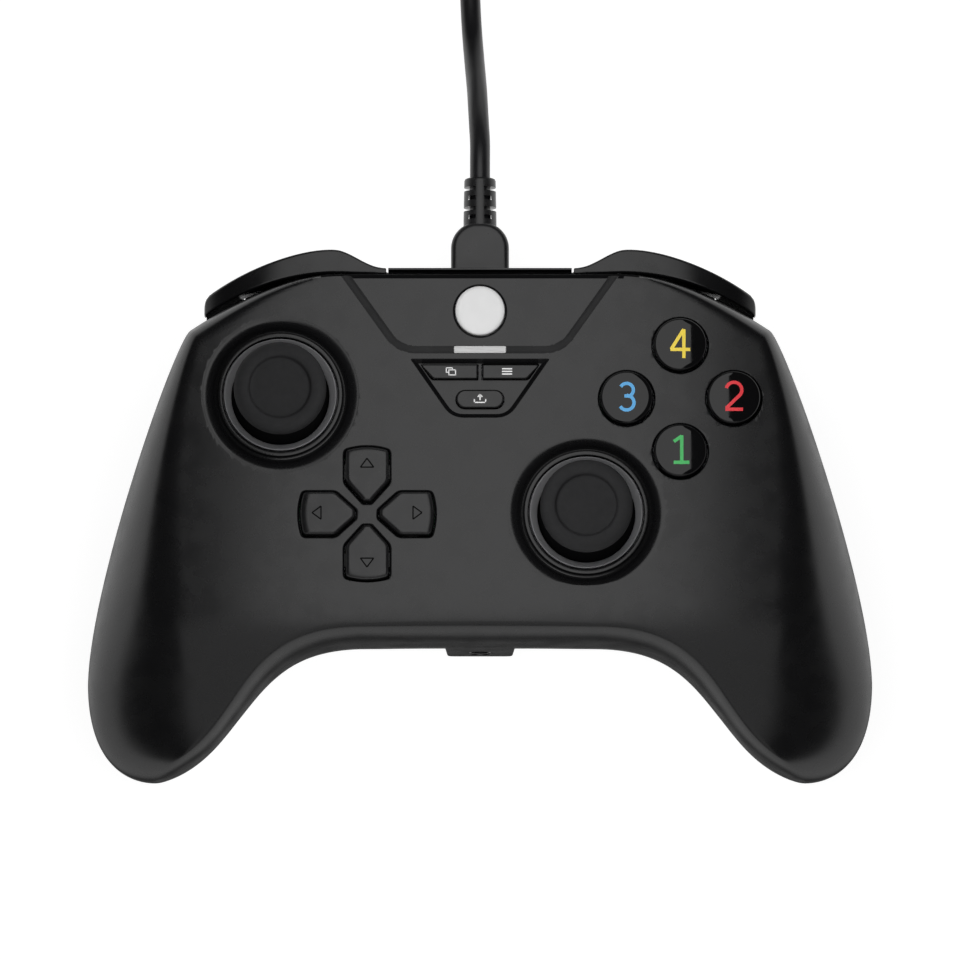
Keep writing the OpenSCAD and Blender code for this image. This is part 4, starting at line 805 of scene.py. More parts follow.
@dataclass
class Lead:
    """The lead: plug, strain relief, jacket, tied coil and the plug at its far end.

    Attributes:
        diameter: Diameter of the jacket.
        length_m: Length of the whole lead in metres.
        route: Where it runs from the strain relief to the coil.
        tail: Where it runs from the coil to the far plug.
        coil_centre: Middle of the coil.
        coil_out: Outer radius of the coil at the middle of the jacket.
        coil_pitch: Step from turn to turn and from layer to layer.
        coil_turns: Number of turns in all layers.
        coil_layers: Number of layers.
        coil_z: Height of the lowest layer.
        plug_half: Half of the plug's width.
        plug_thick: Thickness of the plug.
        plug_ends: Where the plug starts and ends along Y.
        relief_length: Length of the strain relief.
    """

    diameter: float = 4.0
    length_m: float = 2.97
    route: tuple[Triple, ...] = (
        (0, 66.66, 22.05), (0, 71, 22), (0, 75, 21.3), (-0.2, 79, 19.4), (-0.4, 83, 16.4), (-0.6, 87, 12.8),
        (-0.9, 91, 9), (-1.2, 95, 5.7), (-1.5, 99, 3.4), (-1.8, 104, 2.2), (-2, 110, 2), (-2, 118, 2.1),
        (-2, 126, 2.5), (-2, 134, 2.9), (-2, 141, 3), (-2, 145, 3))
    tail: tuple[Triple, ...] = (
        (-29, 113.8, 16.2), (-22, 114.2, 14.6), (-14, 114.9, 12.2), (-6, 115.8, 9.6), (2, 116.7, 7.2),
        (9, 117.4, 5.4), (15, 117.8, 4.4), (20, 118, 4), (24, 118, 4))
    coil_centre: Pair = (-37.3, 149.0)
    coil_out: float = 35.3
    coil_pitch: float = 4.5
    coil_turns: float = 17.75
    coil_layers: int = 4
    coil_z: float = 3.0
    plug_half: float = 5.7
    plug_thick: float = 7.0
    plug_ends: Pair = (43.9, 58.7)
    relief_length: float = 9.0

    @property
    def coil_in(self) -> float:
        """Inner radius of the coil at the middle of the jacket."""
        return self.coil_out - self.coil_pitch * self.coil_turns / self.coil_layers

    def coil_point(self, degrees: float) -> Triple:
        """The place on the coil after a turn.

        Args:
            degrees: How far the coil has turned from its start.

        Returns:
            The place.
        """
        run = 360 * self.coil_turns / self.coil_layers
        q = degrees / run % 2
        r = between(self.coil_out, self.coil_in, q if q < 1 else 2 - q)
        climbs = sum(smooth((degrees - run * k) / 180 + 0.5) for k in range(1, self.coil_layers))
        a = math.radians(degrees)
        return (self.coil_centre[0] + r * math.cos(a), self.coil_centre[1] + r * math.sin(a),
                self.coil_z + self.coil_pitch * climbs)

    def path(self) -> list[Triple]:
        """The whole line that the lead follows.

        Returns:
            Its points from the strain relief to the far plug.
        """
        steps = 36
        coil = [self.coil_point(360 * i / steps) for i in range(int(self.coil_turns * steps) + 1)]
        return smooth_path(self.route, 4)[:-1] + coil + smooth_path((coil[-1], *self.tail), 4)[1:]

    def build(self) -> None:
        """Build the lead with everything on it."""
        path = self.path()
        jacket = tube(path, self.diameter / 2, 20).as_object("lead_jacket", JACKET)
        fit(jacket, "housing", "lead_jacket", "lead", "lead_coil", "lead_tail")
        far_plug = self.build_far_plug()
        tie = self.build_tie()
        [tuple(c * MM for c in p) for p in path]
        self.build_plug()
        self.build_relief()

    def build_tie(self) -> bpy.types.Object:
        """Build the strap that holds the coil.

        Returns:
            The strap.
        """
        thick, width, room, corner = 0.8, 6.0, 0.4, 3.0
        low = self.coil_in - self.diameter / 2 - room
        high = self.coil_out + self.diameter / 2 + room
        top = self.coil_z + self.coil_pitch * (self.coil_layers - 1) + self.diameter / 2 + room
        inner = soften([(low, thick), (high, thick), (high, top), (low, top)], corner)
        outer = inset(inner, -thick)
        rings = []
        for (a, b), (c, d) in zip(inner, outer):
            rings.append([(a, -width / 2, b), (c, -width / 2, d), (c, width / 2, d), (a, width / 2, b)])
        strap = loft(rings, closed=True).moved(*self.coil_centre)
        return fit(strap.as_object("lead_tie", STRAP), "housing", "lead_jacket")

    def build_far_plug(self) -> list[bpy.types.Object]:
        """Build the plug at the far end.

        Returns:
            The grip, the metal shell and the tongue inside it.
        """
        end = self.tail[-1]
        half, thick, length = 7.85, 4.0, 30.0
        loop = soften([(-half, -thick), (half, -thick), (half, thick), (-half, thick)], 2.6)
        levels = [(inset(loop, 3.0), 0.0), (inset(loop, 2.0), 0.25), (inset(loop, 1.3), 0.9), (inset(loop, 0.7), 2.6)]
        for k in range(5):
            start = 7 + 2.4 * k
            levels += [(loop, start), (loop, start + 1.2), (inset(loop, 0.45), start + 1.4),
                       (inset(loop, 0.45), start + 2.2)]
        levels += [(loop, 19.4), (loop, length - 0.8), (inset(loop, 0.25), length - 0.25), (inset(loop, 0.8), length)]
        grip = stack(levels).sideways().moved(*end).as_object("far_plug_grip", OVERMOULD)
        skin = soften([(-6, -2.25), (6, -2.25), (6, 2.25), (-6, 2.25)], 0.5)
        shell = stack([(skin, length - 1), (skin, length + 11.9), (inset(skin, 0.1), length + 12),
                       (inset(skin, 0.35), length + 11.95), (inset(skin, 0.35), length + 1)])
        shell_piece = shell.sideways().moved(*end).as_object("far_plug_shell", TINNED)
        tongue = block((-5.4, -0.1, length + 0.5), (5.4, 1.7, length + 11.4)).sideways().moved(*end)
        return [fit(grip, "housing", "plug_black", "usb_plug"), fit(shell_piece, "housing", "plated_sheet"),
                fit(tongue.as_object("far_plug_tongue", NYLON_BLACK), "housing", "component_black")]

    def build_plug(self) -> None:
        """Build the plug in the casing's socket, with its rounded back."""
        start, end = self.plug_ends
        half, corner = self.plug_half, 5.2
        loop = [(-half, start), (half, start)] + arc(corner, 0, 90, 14, (half - corner, end - corner))
        loop += arc(corner, 90, 180, 14, (corner - half, end - corner))
        low, high = PLAN.port_z - self.plug_thick / 2, PLAN.port_z + self.plug_thick / 2
        plug = pad(lambda by: inset(loop, -by), low, high, 1.15, 1.15, 7).as_object("lead_plug", OVERMOULD)
        fit(plug, "housing", "plug_black", "plug_housing")

    def build_relief(self) -> None:
        """Build the strain relief: a tapered sleeve with slots and windows that leave a spine and side webs."""
        start, length = self.plug_ends[1], self.relief_length
        near, far = 3.25, 3.1
        profile = [(0, -0.6), (near, -0.6), (near, 0.6), (between(near, far, 0.6), length * 0.6), (far, length - 0.5),
                   (far - 0.15, length - 0.15), (far - 0.5, length), (0, length)]
        sleeve = lathe(profile).lying().moved(0, start, PLAN.port_z).as_object("lead_strain_relief", OVERMOULD)
        spine, slot, web = 0.85, 0.8, 2.3
        tools = []
        for side in (-1, 1):
            for y in (2.8, 6.8):
                tools.append(sorted((side * spine, side * 4)) + [y])
            for y in (1.1, 4.9):
                tools.append(sorted((side * spine, side * web)) + [y])
        z = PLAN.port_z
        carve(sleeve, [block((a, start + y - slot / 2, z - 4), (b, start + y + slot / 2, z + 4))
                       for a, b, y in tools], Cut.TAKE)
        fit(sleeve, "housing", "plug_black", "strain_relief")
        core = lathe([(0, 0.2), (2.05, 0.2), (2.05, length - 0.2), (0, length - 0.2)], 24)
        core_piece = core.lying().moved(0, start, z).as_object("lead_core", JACKET)
        fit(core_piece, "housing", "lead_jacket")


@dataclass
class CasingForm:
    """The double-curved form of both shells, drawn as ribs from the outer edge to the arch.

    Attributes:
        half_width: Half of the width across the grips.
        front_y: Place of the grip tips along Y.
        tip_x: Place of the grip tips along X.
        shoulder: Place of the shoulder corners.
        top_run: Half length of the straight top edge.
        arch_run: Half length of the straight arch.
        grip_root: Where the arch turns into the grip.
        droop: Drop of the face from its flat part to the grip tips.
        droop_start: Where the drop starts along Y.
        waist_lift: Rise of the underside between the hump and the grips.
        wall: Thickness of the walls.
        outer_seam: Height of the seam along the outer edge, for each stretch of the curve.
        inner_seam: Height of the seam along the arch.
        top_round: Roundness of the front shell along the outer edge.
        low_round: Roundness of the rear shell along the outer edge.
        arch_round: Roundness of the front shell along the arch.
        arch_low_round: Roundness of the rear shell along the arch.
        ribs: Number of ribs in each stretch.
        across: Number of faces along each rib.
        tip_end: Share of the last stretch that the outer skin covers.
        hollow_end: Share of it that the inner skin covers.
        seam_gap: Gap between the shells.
    """

    half_width: float = 77.0
    front_y: float = -51.4
    tip_x: float = 63.0
    shoulder: Pair = (57.0, 35.5)
    top_run: float = 27.0
    arch_run: float = 22.0
    grip_root: Pair = (46.5, -38.036)
    droop: float = 14.0
    droop_start: float = -14.0
    waist_lift: float = 7.0
    wall: float = 2.0
    outer_seam: tuple[float, ...] = (28.0, 28.0, 27.0, 17.8, 16.0)
    inner_seam: tuple[float, ...] = (25.0, 25.0, 24.0, 18.25, 16.0)
    top_round: tuple[float, ...] = (1.2, 1.2, 5.0, 22.0, 22.0)
    low_round: tuple[float, ...] = (7.0, 7.0, 14.0, 25.0, 25.0)
    arch_round: tuple[float, ...] = (2.6, 2.6, 2.6, 3.0, 4.0)
    arch_low_round: tuple[float, ...] = (9.0, 9.0, 10.0, 15.0, 15.0)
    ribs: tuple[int, ...] = (8, 22, 30, 40)
    across: int = 64
    tip_end: float = 0.97
    hollow_end: float = 0.8
    seam_gap: float = 0.1

    def outer(self, u: float) -> Pair:
        """The outer edge at the seam.

        Args:
            u: The place along the edge, counting its four stretches.

        Returns:
            The point in plan.
        """
        top, grip_y = PLAN.top_y, self.front_y + 19.4
        x, y = self.shoulder
        w, t, f = self.half_width, self.tip_x, self.front_y
        curve = (
            ((0, top), (self.top_run / 3, top), (self.top_run * 2 / 3, top), (self.top_run, top)),
            ((self.top_run, top), (self.top_run + 11, top), (x - 9, y + 6), (x, y)),
            ((x, y), (x + 3, y - 2), (w - 0.5, grip_y + 20), (w, grip_y)),
            ((w, grip_y), (w, grip_y - 12), (t + 9.5, f), (t, f)))
        k = min(3, int(u))
        return bezier(curve[k], u - k)

    def inner(self, u: float) -> Pair:
        """The arch and the inside of the grip at the seam.

        Args:
            u: The place along it, counting its four stretches.

        Returns:
            The point in plan.
        """
        arch, f, t = PLAN.arch_y, self.front_y, self.tip_x
        x, y = self.grip_root
        r = self.arch_run
        curve = (
            ((0, arch), (3, arch), (7, arch), (10, arch)),
            ((10, arch), (14, arch), (18, arch), (r, arch)),
            ((r, arch), (r + 14, arch), (x - 5.5, between(arch, y, 0.43)), (x, y)),
            ((x, y), (x + 4, between(y, f, 0.37)), (t - 9, f + 2.9), (t, f)))
        k = min(3, int(u))
        return bezier(curve[k], u - k)

    def place_at(self, x: float) -> float:
        """The place along the outer edge's second stretch where it is x away from the middle.

        Args:
            x: The distance from the middle.

        Returns:
            The place, counting the edge's stretches.
        """
        low, high = 1.0, 2.0
        for _ in range(24):
            middle = (low + high) / 2
            low, high = (middle, high) if self.outer(middle)[0] < x else (low, middle)
        return low

    @staticmethod
    def level(values: Sequence[float], u: float) -> float:
        """A value that eases from stretch to stretch."""
        k = min(len(values) - 2, int(u))
        return between(values[k], values[k + 1], smooth(u - k))

    @staticmethod
    def edge(d: float, width: float, power: int = 2) -> float:
        """Height of an edge at a distance from it, from 0 to 1: power 2 is a quarter round, 3 is squarer."""
        return 1.0 if d >= width else max(0.0, 1 - (1 - max(d, 0.0) / width) ** power) ** (1 / power)

    def rise(self, d: float, e: float, u: float, half: Half) -> float:
        """Share of the way from the seam to the skin's full height.

        Args:
            d: The distance from the outer edge.
            e: The distance from the arch.
            u: The place along the edge.
            half: The shell.

        Returns:
            The share, from 0 to 1.
        """
        if half is Half.REAR:
            return self.edge(d, self.level(self.low_round, u)) * self.edge(e, self.level(self.arch_low_round, u))
        wide = self.level(self.top_round, u)
        outer = between(self.edge(d, wide, 3), self.edge(d, wide), smooth(u - 2))
        return outer * self.edge(e, self.level(self.arch_round, u), 3)

    def face_height(self, y: float) -> float:
        """Height of the front's outer skin away from its edges."""
        return PLAN.face_z - self.droop * smooth((self.droop_start - y) / (self.droop_start - self.front_y))

    def underside(self, x: float, y: float) -> float:
        """Height of the rear's outer skin away from its edges.

        Args:
            x: The place along X.
            y: The place along Y.

        Returns:
            The height.
        """
        hump = smooth(1 - (abs(x) - 16) / 16) * smooth((y + 8) / 16)
        grip = smooth((-y - 6) / 20) * smooth((abs(x) - 34) / 14)
        return self.waist_lift * (1 - max(hump, grip))

    def rib(self, mark: float, half: Half, deep: float) -> list[Triple]:
        """One rib of a skin.

        Args:
            mark: Which rib; negative on the left.
            half: The shell.
            deep: How far inside the outer skin.

        Returns:
            Its points from the outer edge to the arch.
        """
        u = abs(mark)
        if deep > 0 and u > 3:
            u = 3 + (u - 3) * self.hollow_end / self.tip_end
        o, n = Vector(self.outer(u)), Vector(self.inner(u))
        step = (n - o).normalized() * deep * 1.25
        a, b = o + step, n - step
        run = (b - a).length
        seams = self.level(self.outer_seam, u), self.level(self.inner_seam, u)
        made = []
        for j in range(self.across + 1):
            s = (1 - math.cos(math.pi * j / self.across)) / 2
            p = a.lerp(b, s)
            rise = self.rise(s * run, (1 - s) * run, u, half)
            seam = between(*seams, s) + half.value * self.seam_gap / 2
            far = self.face_height(p.y) - deep if half is Half.FRONT else self.underside(p.x, p.y) + deep
            made.append((math.copysign(p.x, mark) if mark else 0.0, p.y, between(seam, far, rise)))
        return made

    def shell(self, half: Half) -> Solid:
        """One shell with its outer and inner skins and the rim between them.

        Args:
            half: Which shell.

        Returns:
            The shell.
        """
        stations = [0.0]
        for k, n in enumerate(self.ribs):
            stations += [k + i / n * (self.tip_end if k == 3 else 1.0) for i in range(1, n + 1)]
        marks = [-u for u in reversed(stations[1:])] + stations
        count, row = len(marks), self.across + 1
        points = [p for deep in (0.0, self.wall) for mark in marks for p in self.rib(mark, half, deep)]

        def at(skin: int, i: int, j: int) -> int:
            """The number of a point."""
            return (skin * count + i) * row + j

        faces: list[tuple[int, ...]] = []
        for i in range(count - 1):
            for j in range(self.across):
                faces.append((at(0, i, j), at(0, i + 1, j), at(0, i + 1, j + 1), at(0, i, j + 1)))
                faces.append((at(1, i, j), at(1, i, j + 1), at(1, i + 1, j + 1), at(1, i + 1, j)))
            for j in (0, self.across):
                faces.append((at(0, i, j), at(1, i, j), at(1, i + 1, j), at(0, i + 1, j)))
        for i in (0, count - 1):
            faces.append(tuple(at(0, i, j) for j in range(row)))
            faces.append(tuple(at(1, i, j) for j in range(row)))
            faces.append((at(0, i, self.across), at(0, i, 0), at(1, i, 0), at(1, i, self.across)))
        return Solid(points, faces)


@dataclass
class MiddleKeys:
    """The home button, light bar, recessed panel and the three keys in it.

    Attributes:
        home_y: Place of the home button.
        home_r: Its radius.
        bar_y: Place of the light bar.
        bar_half: Half of the bar's length.
        bar_width: Width of the bar and of the groove.
        panel_top: Upper edge of the panel and half of its width there.
        panel_low: Lower edge of the panel and half of its width there.
        panel_depth: Depth of the panel.
        slant_y: Place of the two slanted keys.
        slant_half: Half of their height along Y.
        slant_reach: Their reach at the upper and lower edges.
        slant_gap: Half of the gap between them.
        share_y: Place of the share key.
        share: Its length and width.
        key_z: Height of the keys' tops.
    """

    home_y: float = 38.0
    home_r: float = 4.87
    bar_y: float = 30.4
    bar_half: float = 5.1
    bar_width: float = 1.4
    panel_top: Pair = (28.6, 13.7)
    panel_low: Pair = (16.9, 5.6)
    panel_depth: float = 1.0
    slant_y: float = 26.0
    slant_half: float = 1.35
    slant_reach: Pair = (11.5, 9.3)
    slant_gap: float = 0.5
    share_y: float = 20.6
    share: Pair = (9.2, 3.4)
    key_z: float = 44.3

    def groove(self) -> Loop:
        """Outline of the groove that runs from the bar out to the top edge on both sides.

        Returns:
            The outline.
        """
        top, knee, r, w = Vector((27.0, PLAN.top_y)), Vector((15.9, self.bar_y)), 6.0, self.bar_width / 2
        lean = math.degrees(math.atan2(top.y - knee.y, top.x - knee.x))
        ahead = Vector((math.cos(math.radians(lean)), math.sin(math.radians(lean))))
        end = knee + ahead * ((top - knee).length + 2)
        side = Vector((ahead.y, -ahead.x)) * w
        centre = (knee.x - r * math.tan(math.radians(lean / 2)), knee.y + r)
        low = arc(r + w, -90, lean - 90, 10, centre) + [tuple(end + side)]
        high = [tuple(end - side)] + arc(r - w, lean - 90, -90, 10, centre)
        return low + high + mirrored_loop(high) + mirrored_loop(low)

    def slant(self, grow: float) -> Loop:
        """Outline of the right slanted key, grown by a gap.

        Args:
            grow: The gap.

        Returns:
            The outline.
        """
        up, (top, low), near = self.slant_half + grow, self.slant_reach, self.slant_gap - grow
        y = self.slant_y
        return soften([(near, y - up), (low + grow, y - up), (top + grow, y + up), (near, y + up)],
                      [0.25, 0.6, 0.3, 0.25], 4)

    def stadium(self, grow: float) -> Loop:
        """Outline of the share key, grown by a gap.

        Args:
            grow: The gap.

        Returns:
            The outline.
        """
        r = self.share[1] / 2 + grow
        half = self.share[0] / 2 + grow - r
        return arc(r, -90, 90, 14, (half, self.share_y)) + arc(r, 90, 270, 14, (-half, self.share_y))

    def panel(self) -> Loop:
        """Outline of the recessed panel."""
        (top, wide), (low, narrow) = self.panel_top, self.panel_low
        return soften([(-narrow, low), (narrow, low), (wide, top), (-wide, top)], [2.4, 2.4, 0.5, 0.5])

    def tools(self) -> list[Solid]:
        """The tools that cut all of it from the front shell.

        Returns:
            The tools.
        """
        face, gap = PLAN.face_z, PLAN.gap
        floor = face - self.panel_depth
        panel, groove = self.panel(), self.groove()
        slant = self.slant(gap)
        low = PLAN.inside_z - 2
        bar = soften([(-self.bar_half - 0.05, self.bar_y - 0.75), (self.bar_half + 0.05, self.bar_y - 0.75),
                      (self.bar_half + 0.05, self.bar_y + 0.75), (-self.bar_half - 0.05, self.bar_y + 0.75)], 0.3)
        return [
            well(circle(self.home_r + gap, (0, self.home_y)), PLAN.key_base_z - 1, face, 0.3),
            stack([(inset(panel, 0.9), floor), (inset(panel, 0.8), floor + 0.05), (inset(panel, 0.1), face - 0.12),
                   (inset(panel, 0.0), face - 0.03), (inset(panel, -0.2), face + 0.05)]),
            stack([(slant, low), (slant, floor + 0.4)]),
            stack([(mirrored_loop(slant), low), (mirrored_loop(slant), floor + 0.4)]),
            stack([(self.stadium(gap), low), (self.stadium(gap), floor + 0.4)]),
            stack([(inset(groove, 0.45), face - 0.12), (inset(groove, 0.3), face - 0.11),
                   (inset(groove, 0.0), face - 0.015), (inset(groove, -0.1), face - 0.002),
                   (inset(groove, -0.5), face + 0.05)]),
            stack([(bar, low), (bar, face + 0.05)]),
        ]

    @staticmethod
    def plunger(x: float, y: float) -> Solid:
        """The square foot under a key, which presses its dome."""
        half = 1.2
        return block((x - half, y - half, PLAN.plunger_z), (x + half, y + half, PLAN.key_base_z + 0.5))

    def build(self) -> None:
        """Build the button, the bar and the keys."""
        base, foot = PLAN.key_base_z, PLAN.plunger_z
        r, top = self.home_r, PLAN.face_z + 1.5
        dome = [(r * 0.95 * k / 8, top - 0.42 * (k / 8) ** 2) for k in range(8, -1, -1)]
        home = lathe([(0, foot), (2.8, foot), (2.8, base), (r, base), (r, top - 0.95), (r - 0.05, top - 0.7),
                      (r - 0.15, top - 0.52), *dome], 96).moved(0, self.home_y)
        fit(home.as_object("home_dome", PEARL), "home_button", "home_pearl", "home_button")
        half, w = self.bar_half, self.bar_width / 2
        strip = soften([(-half, -w), (half, -w), (half, w), (-half, w)], 0.3)
        bar = pad(lambda by: inset(strip, -by), PLAN.inside_z - 1, PLAN.face_z, 0.15).plus(
            block((-half - 1, -w - 0.5, PLAN.inside_z - 1), (half + 1, w + 0.5, PLAN.inside_z - 0.05)))
        fit(bar.moved(0, self.bar_y).as_object("light_bar", OPAL), "housing", "light_diffuser", "status_light_bar")
        z = self.key_z
        outlines = self.slant, lambda by: mirrored_loop(self.slant(by))
        for name, outline, side in (("menu", outlines[0], 1), ("view", outlines[1], -1)):
            plunger = self.plunger(side * self.slant_reach[0] / 2, self.slant_y)
            key = pad(outline, base, z, 0.28).plus(plunger).as_object(f"{name}_cap", KEY)
            fit(key, f"{name}_key", "small_key_black", f"{name}_key")
        key = pad(self.stadium, base, z, 0.3).plus(self.plunger(0, self.share_y)).as_object("share_cap", KEY)
        fit(key, "share_key", "small_key_black", "share_key")
        self.build_marks()

    def build_marks(self) -> None:
        """Print a plain mark on each key: two squares, three lines, and a tray with an arrow."""
        def flat(x: float, y: float) -> float:
            """Height of the keys' tops."""
            return self.key_z

        def lines(name: str, body: str, paths: Sequence[Sequence[Pair]], width: float, at: Pair) -> None:
            """Print lines on a key.

            Args:
                name: The piece's name.
                body: The key's body.
                paths: The lines, about their own middle.
                width: The lines' width.
                at: The place of the middle.
            """
            made = Solid()
            for path in paths:
                made = made.plus(ribbon([(x + at[0], y + at[1]) for x, y in path], width, flat))
            fit(made.as_object(name, WHITE_INK), body, "small_key_black")

        lines("menu_mark", "menu_key", [[(-1.0, y), (1.0, y)] for y in (-0.52, 0, 0.52)], 0.25, (5.3, self.slant_y))
        near = [[(-0.9, -0.17), (-0.9, 0.7), (0.3, 0.7), (0.3, 0.3)], [(-1.0, -0.17), (-0.45, -0.17)]]
        far = [[(-0.4, -0.7), (0.9, -0.7)], [(0.9, -0.8), (0.9, 0.3)], [(0.9, 0.3), (-0.4, 0.3)],
               [(-0.4, 0.4), (-0.4, -0.8)]]
        straight = [list(pair) for path in near for pair in zip(path, path[1:])]
        lines("view_mark", "view_key", straight + far, 0.2, (-5.7, self.slant_y))
        tray = [[(-1.1, -0.1), (-1.1, -0.85)], [(-1.21, -0.74), (1.21, -0.74)], [(1.1, -0.85), (1.1, -0.1)],
                [(0, -0.3), (0, 0.8)], [(-0.45, 0.35), (0, 0.85)], [(0.45, 0.35), (0, 0.85)]]
        lines("share_mark", "share_key", tray, 0.23, (0, self.share_y))


@dataclass
class FaceButtons:
    """The four polished round buttons with plain numbers.

    Attributes:
        centre: Middle of the group.
        pitch: Distance of each from the middle.
        radius: Their radius.
        rise: Their height above the face.
        crown: Radius of the domed tops.
        stroke: Width of the numbers' lines.
        number_scale: Size of the numbers as a share of the size they are drawn at.
    """

    centre: Pair = (39.2, 20.7)
    pitch: float = 10.5
    radius: float = 5.2
    rise: float = 2.3
    crown: float = 72.0
    stroke: float = 0.66
    number_scale: float = 0.88

    def places(self) -> dict[str, Pair]:
        """The middle of each button, by name.

        Returns:
            The places.
        """
        x, y = self.centre
        return {"south": (x, y - self.pitch), "east": (x + self.pitch, y), "west": (x - self.pitch, y),
                "north": (x, y + self.pitch)}

    def tools(self) -> list[Solid]:
        """The tools that cut their holes."""
        return [well(circle(self.radius + PLAN.gap, p), PLAN.inside_z - 6, PLAN.face_z, 0.3)
                for p in self.places().values()]

    @staticmethod
    def numbers() -> dict[str, list[Loop]]:
        """The lines of each button's number, about its middle.

        Returns:
            The lines, by the button's name.
        """
        return {
            "south": [[(-1.45, 1.85), (0.3, 3.05)], [(0.3, 3.25), (0.3, -3.25)], [(-1.5, -2.83), (2.0, -2.83)]],
            "east": [arc(1.75, 165, -35, 14, (0, 1.5)) + [(-1.75, -2.6)], [(-1.9, -2.83), (2.0, -2.83)]],
            "west": [arc(1.5, 150, -80, 14, (0, 1.5)), arc(1.65, 90, -150, 14, (0, -1.35)),
                     [(-0.5, 0.16), (0.3, 0.16)]],
            "north": [[(0.75, 3.2), (-2.0, -1.25)], [(-2.2, -1.3), (2.2, -1.3)], [(0.8, 3.25), (0.8, -3.25)]],
        }

    @staticmethod
    def finely(path: Loop, step: float = 0.4) -> Loop:
        """A path with points no further apart than a step.

        Args:
            path: The path's points.
            step: The longest distance between two points.

        Returns:
            The finer path.
        """
        made = [path[0]]
        for a, b in zip(path, path[1:]):
            n = max(1, math.ceil(math.dist(a, b) / step))
            made += [(between(a[0], b[0], k / n), between(a[1], b[1], k / n)) for k in range(1, n + 1)]
        return made

    def build(self) -> None:
        """Build the buttons and print their numbers."""
        r, top, base, foot = self.radius, PLAN.face_z + self.rise, PLAN.key_base_z, PLAN.plunger_z

        def dome(x: float, y: float) -> float:
            """Height of the top about a button's middle."""
            return top - (x * x + y * y) / (2 * self.crown)

        edge = 4.72
        crown = [(edge * k / 10, dome(edge * k / 10, 0)) for k in range(10, -1, -1)]
        profile = [(0, foot), (2.8, foot), (2.8, base), (r, base), (r, top - 0.75), (r - 0.04, top - 0.56),
                   (r - 0.13, top - 0.4), (r - 0.26, top - 0.27), *crown]
        for name, place in self.places().items():
            body = f"face_button_{name}"
            cap = lathe(profile, 96).moved(*place).as_object(f"button_{name}_cap", POLISHED, 50.0)
            fit(cap, body, "button_gloss", body)
            number = Solid()
            for k, path in enumerate(self.numbers()[name]):
                drawn = [(x * self.number_scale, y * self.number_scale) for x, y in path]
                number = number.plus(ribbon(self.finely(drawn), self.stroke, dome).moved(z=0.004 * k))
            fit(number.moved(*place).as_object(f"button_{name}_number", INKS[name]), body, "button_gloss")


@dataclass
class DirectionPad:
    """Four separate direction keys around a cross of the face.

    Attributes:
        centre: Middle of the pad.
        reach: Reach of the keys from the middle.
        half: Half of their width.
        shoulder: Where their straight sides start.
        tip: Where their inner tips are.
        rise: Their height above the face.
        bevel: Radius of their upper edges.
        end_slope: How many times wider the bevel is at their outer ends.
        angles: The turn of each key about the middle in degrees, by name.
    """

    centre: Pair = (-22.1, -2.2)
    reach: float = 13.1
    half: float = 4.2
    shoulder: float = 6.3
    tip: float = 2.4
    rise: float = 2.0
    bevel: float = 0.75
    end_slope: float = 1.8
    angles: tuple[tuple[str, int], ...] = (("up", 90), ("right", 0), ("down", 270), ("left", 180))

    def outline(self, grow: float) -> Loop:
        """Outline of the right key about the pad's middle.

        Args:
            grow: How far it is grown; where it shrinks, its outer end draws in further than its sides.

        Returns:
            The outline.
        """
        reach, half = self.reach + (grow if grow > 0 else self.end_slope * grow), self.half + grow
        lean = math.degrees(math.asin(half / reach))
        inner, low = self.shoulder - grow / 2, self.tip - grow
        corners = arc(reach, -lean, lean, 8)
        corners += [(inner, half), (low, 0.7 + grow / 2), (low, -0.7 - grow / 2), (inner, -half)]
        return soften(corners, [0.8] + [0.2] * 7 + [0.8, 0.7, 0.3, 0.3, 0.7], 4)

    def tools(self) -> list[Solid]:
        """The tools that cut their holes."""
        hole = well(self.outline(PLAN.gap), PLAN.inside_z - 2, PLAN.face_z, 0.45)
        return [hole.turned(a).moved(*self.centre) for _, a in self.angles]

    def build(self) -> None:
        """Build the keys, and draw an outlined triangle on each as a dark matte line: painted shade for an engraving.
        """
        base, top = PLAN.key_base_z, PLAN.face_z + self.rise
        cap = pad(self.outline, base, top, self.bevel, 0.0, 6)
        tab = block((self.shoulder + 1, -self.half - 0.9, base),
                    (self.reach - 3, self.half + 0.9, PLAN.inside_z - 0.3))
        foot = lathe([(0, PLAN.plunger_z), (2.4, PLAN.plunger_z), (2.4, base + 0.5), (0, base + 0.5)], 32).moved(8.6)
        points = [(9.0, 1.3), (10.75, 0), (9.0, -1.3)]
        for name, angle in self.angles:
            body = f"direction_key_{name}"
            key = cap.plus(tab, foot).turned(angle).moved(*self.centre)
            fit(key.as_object(f"pad_{name}_cap", KEY), body, "key_black", body)
            mark = Solid()
            for a, b in zip(points, points[1:] + points[:1]):
                mark = mark.plus(ribbon([a, b], 0.25, lambda x, y: top))
            # The triangle's dark colour is painted shade of the engraving.
            piece = mark.turned(angle).moved(*self.centre).as_object(f"pad_{name}_mark", ENGRAVING_SHADE)
            fit(piece, body, "key_black")


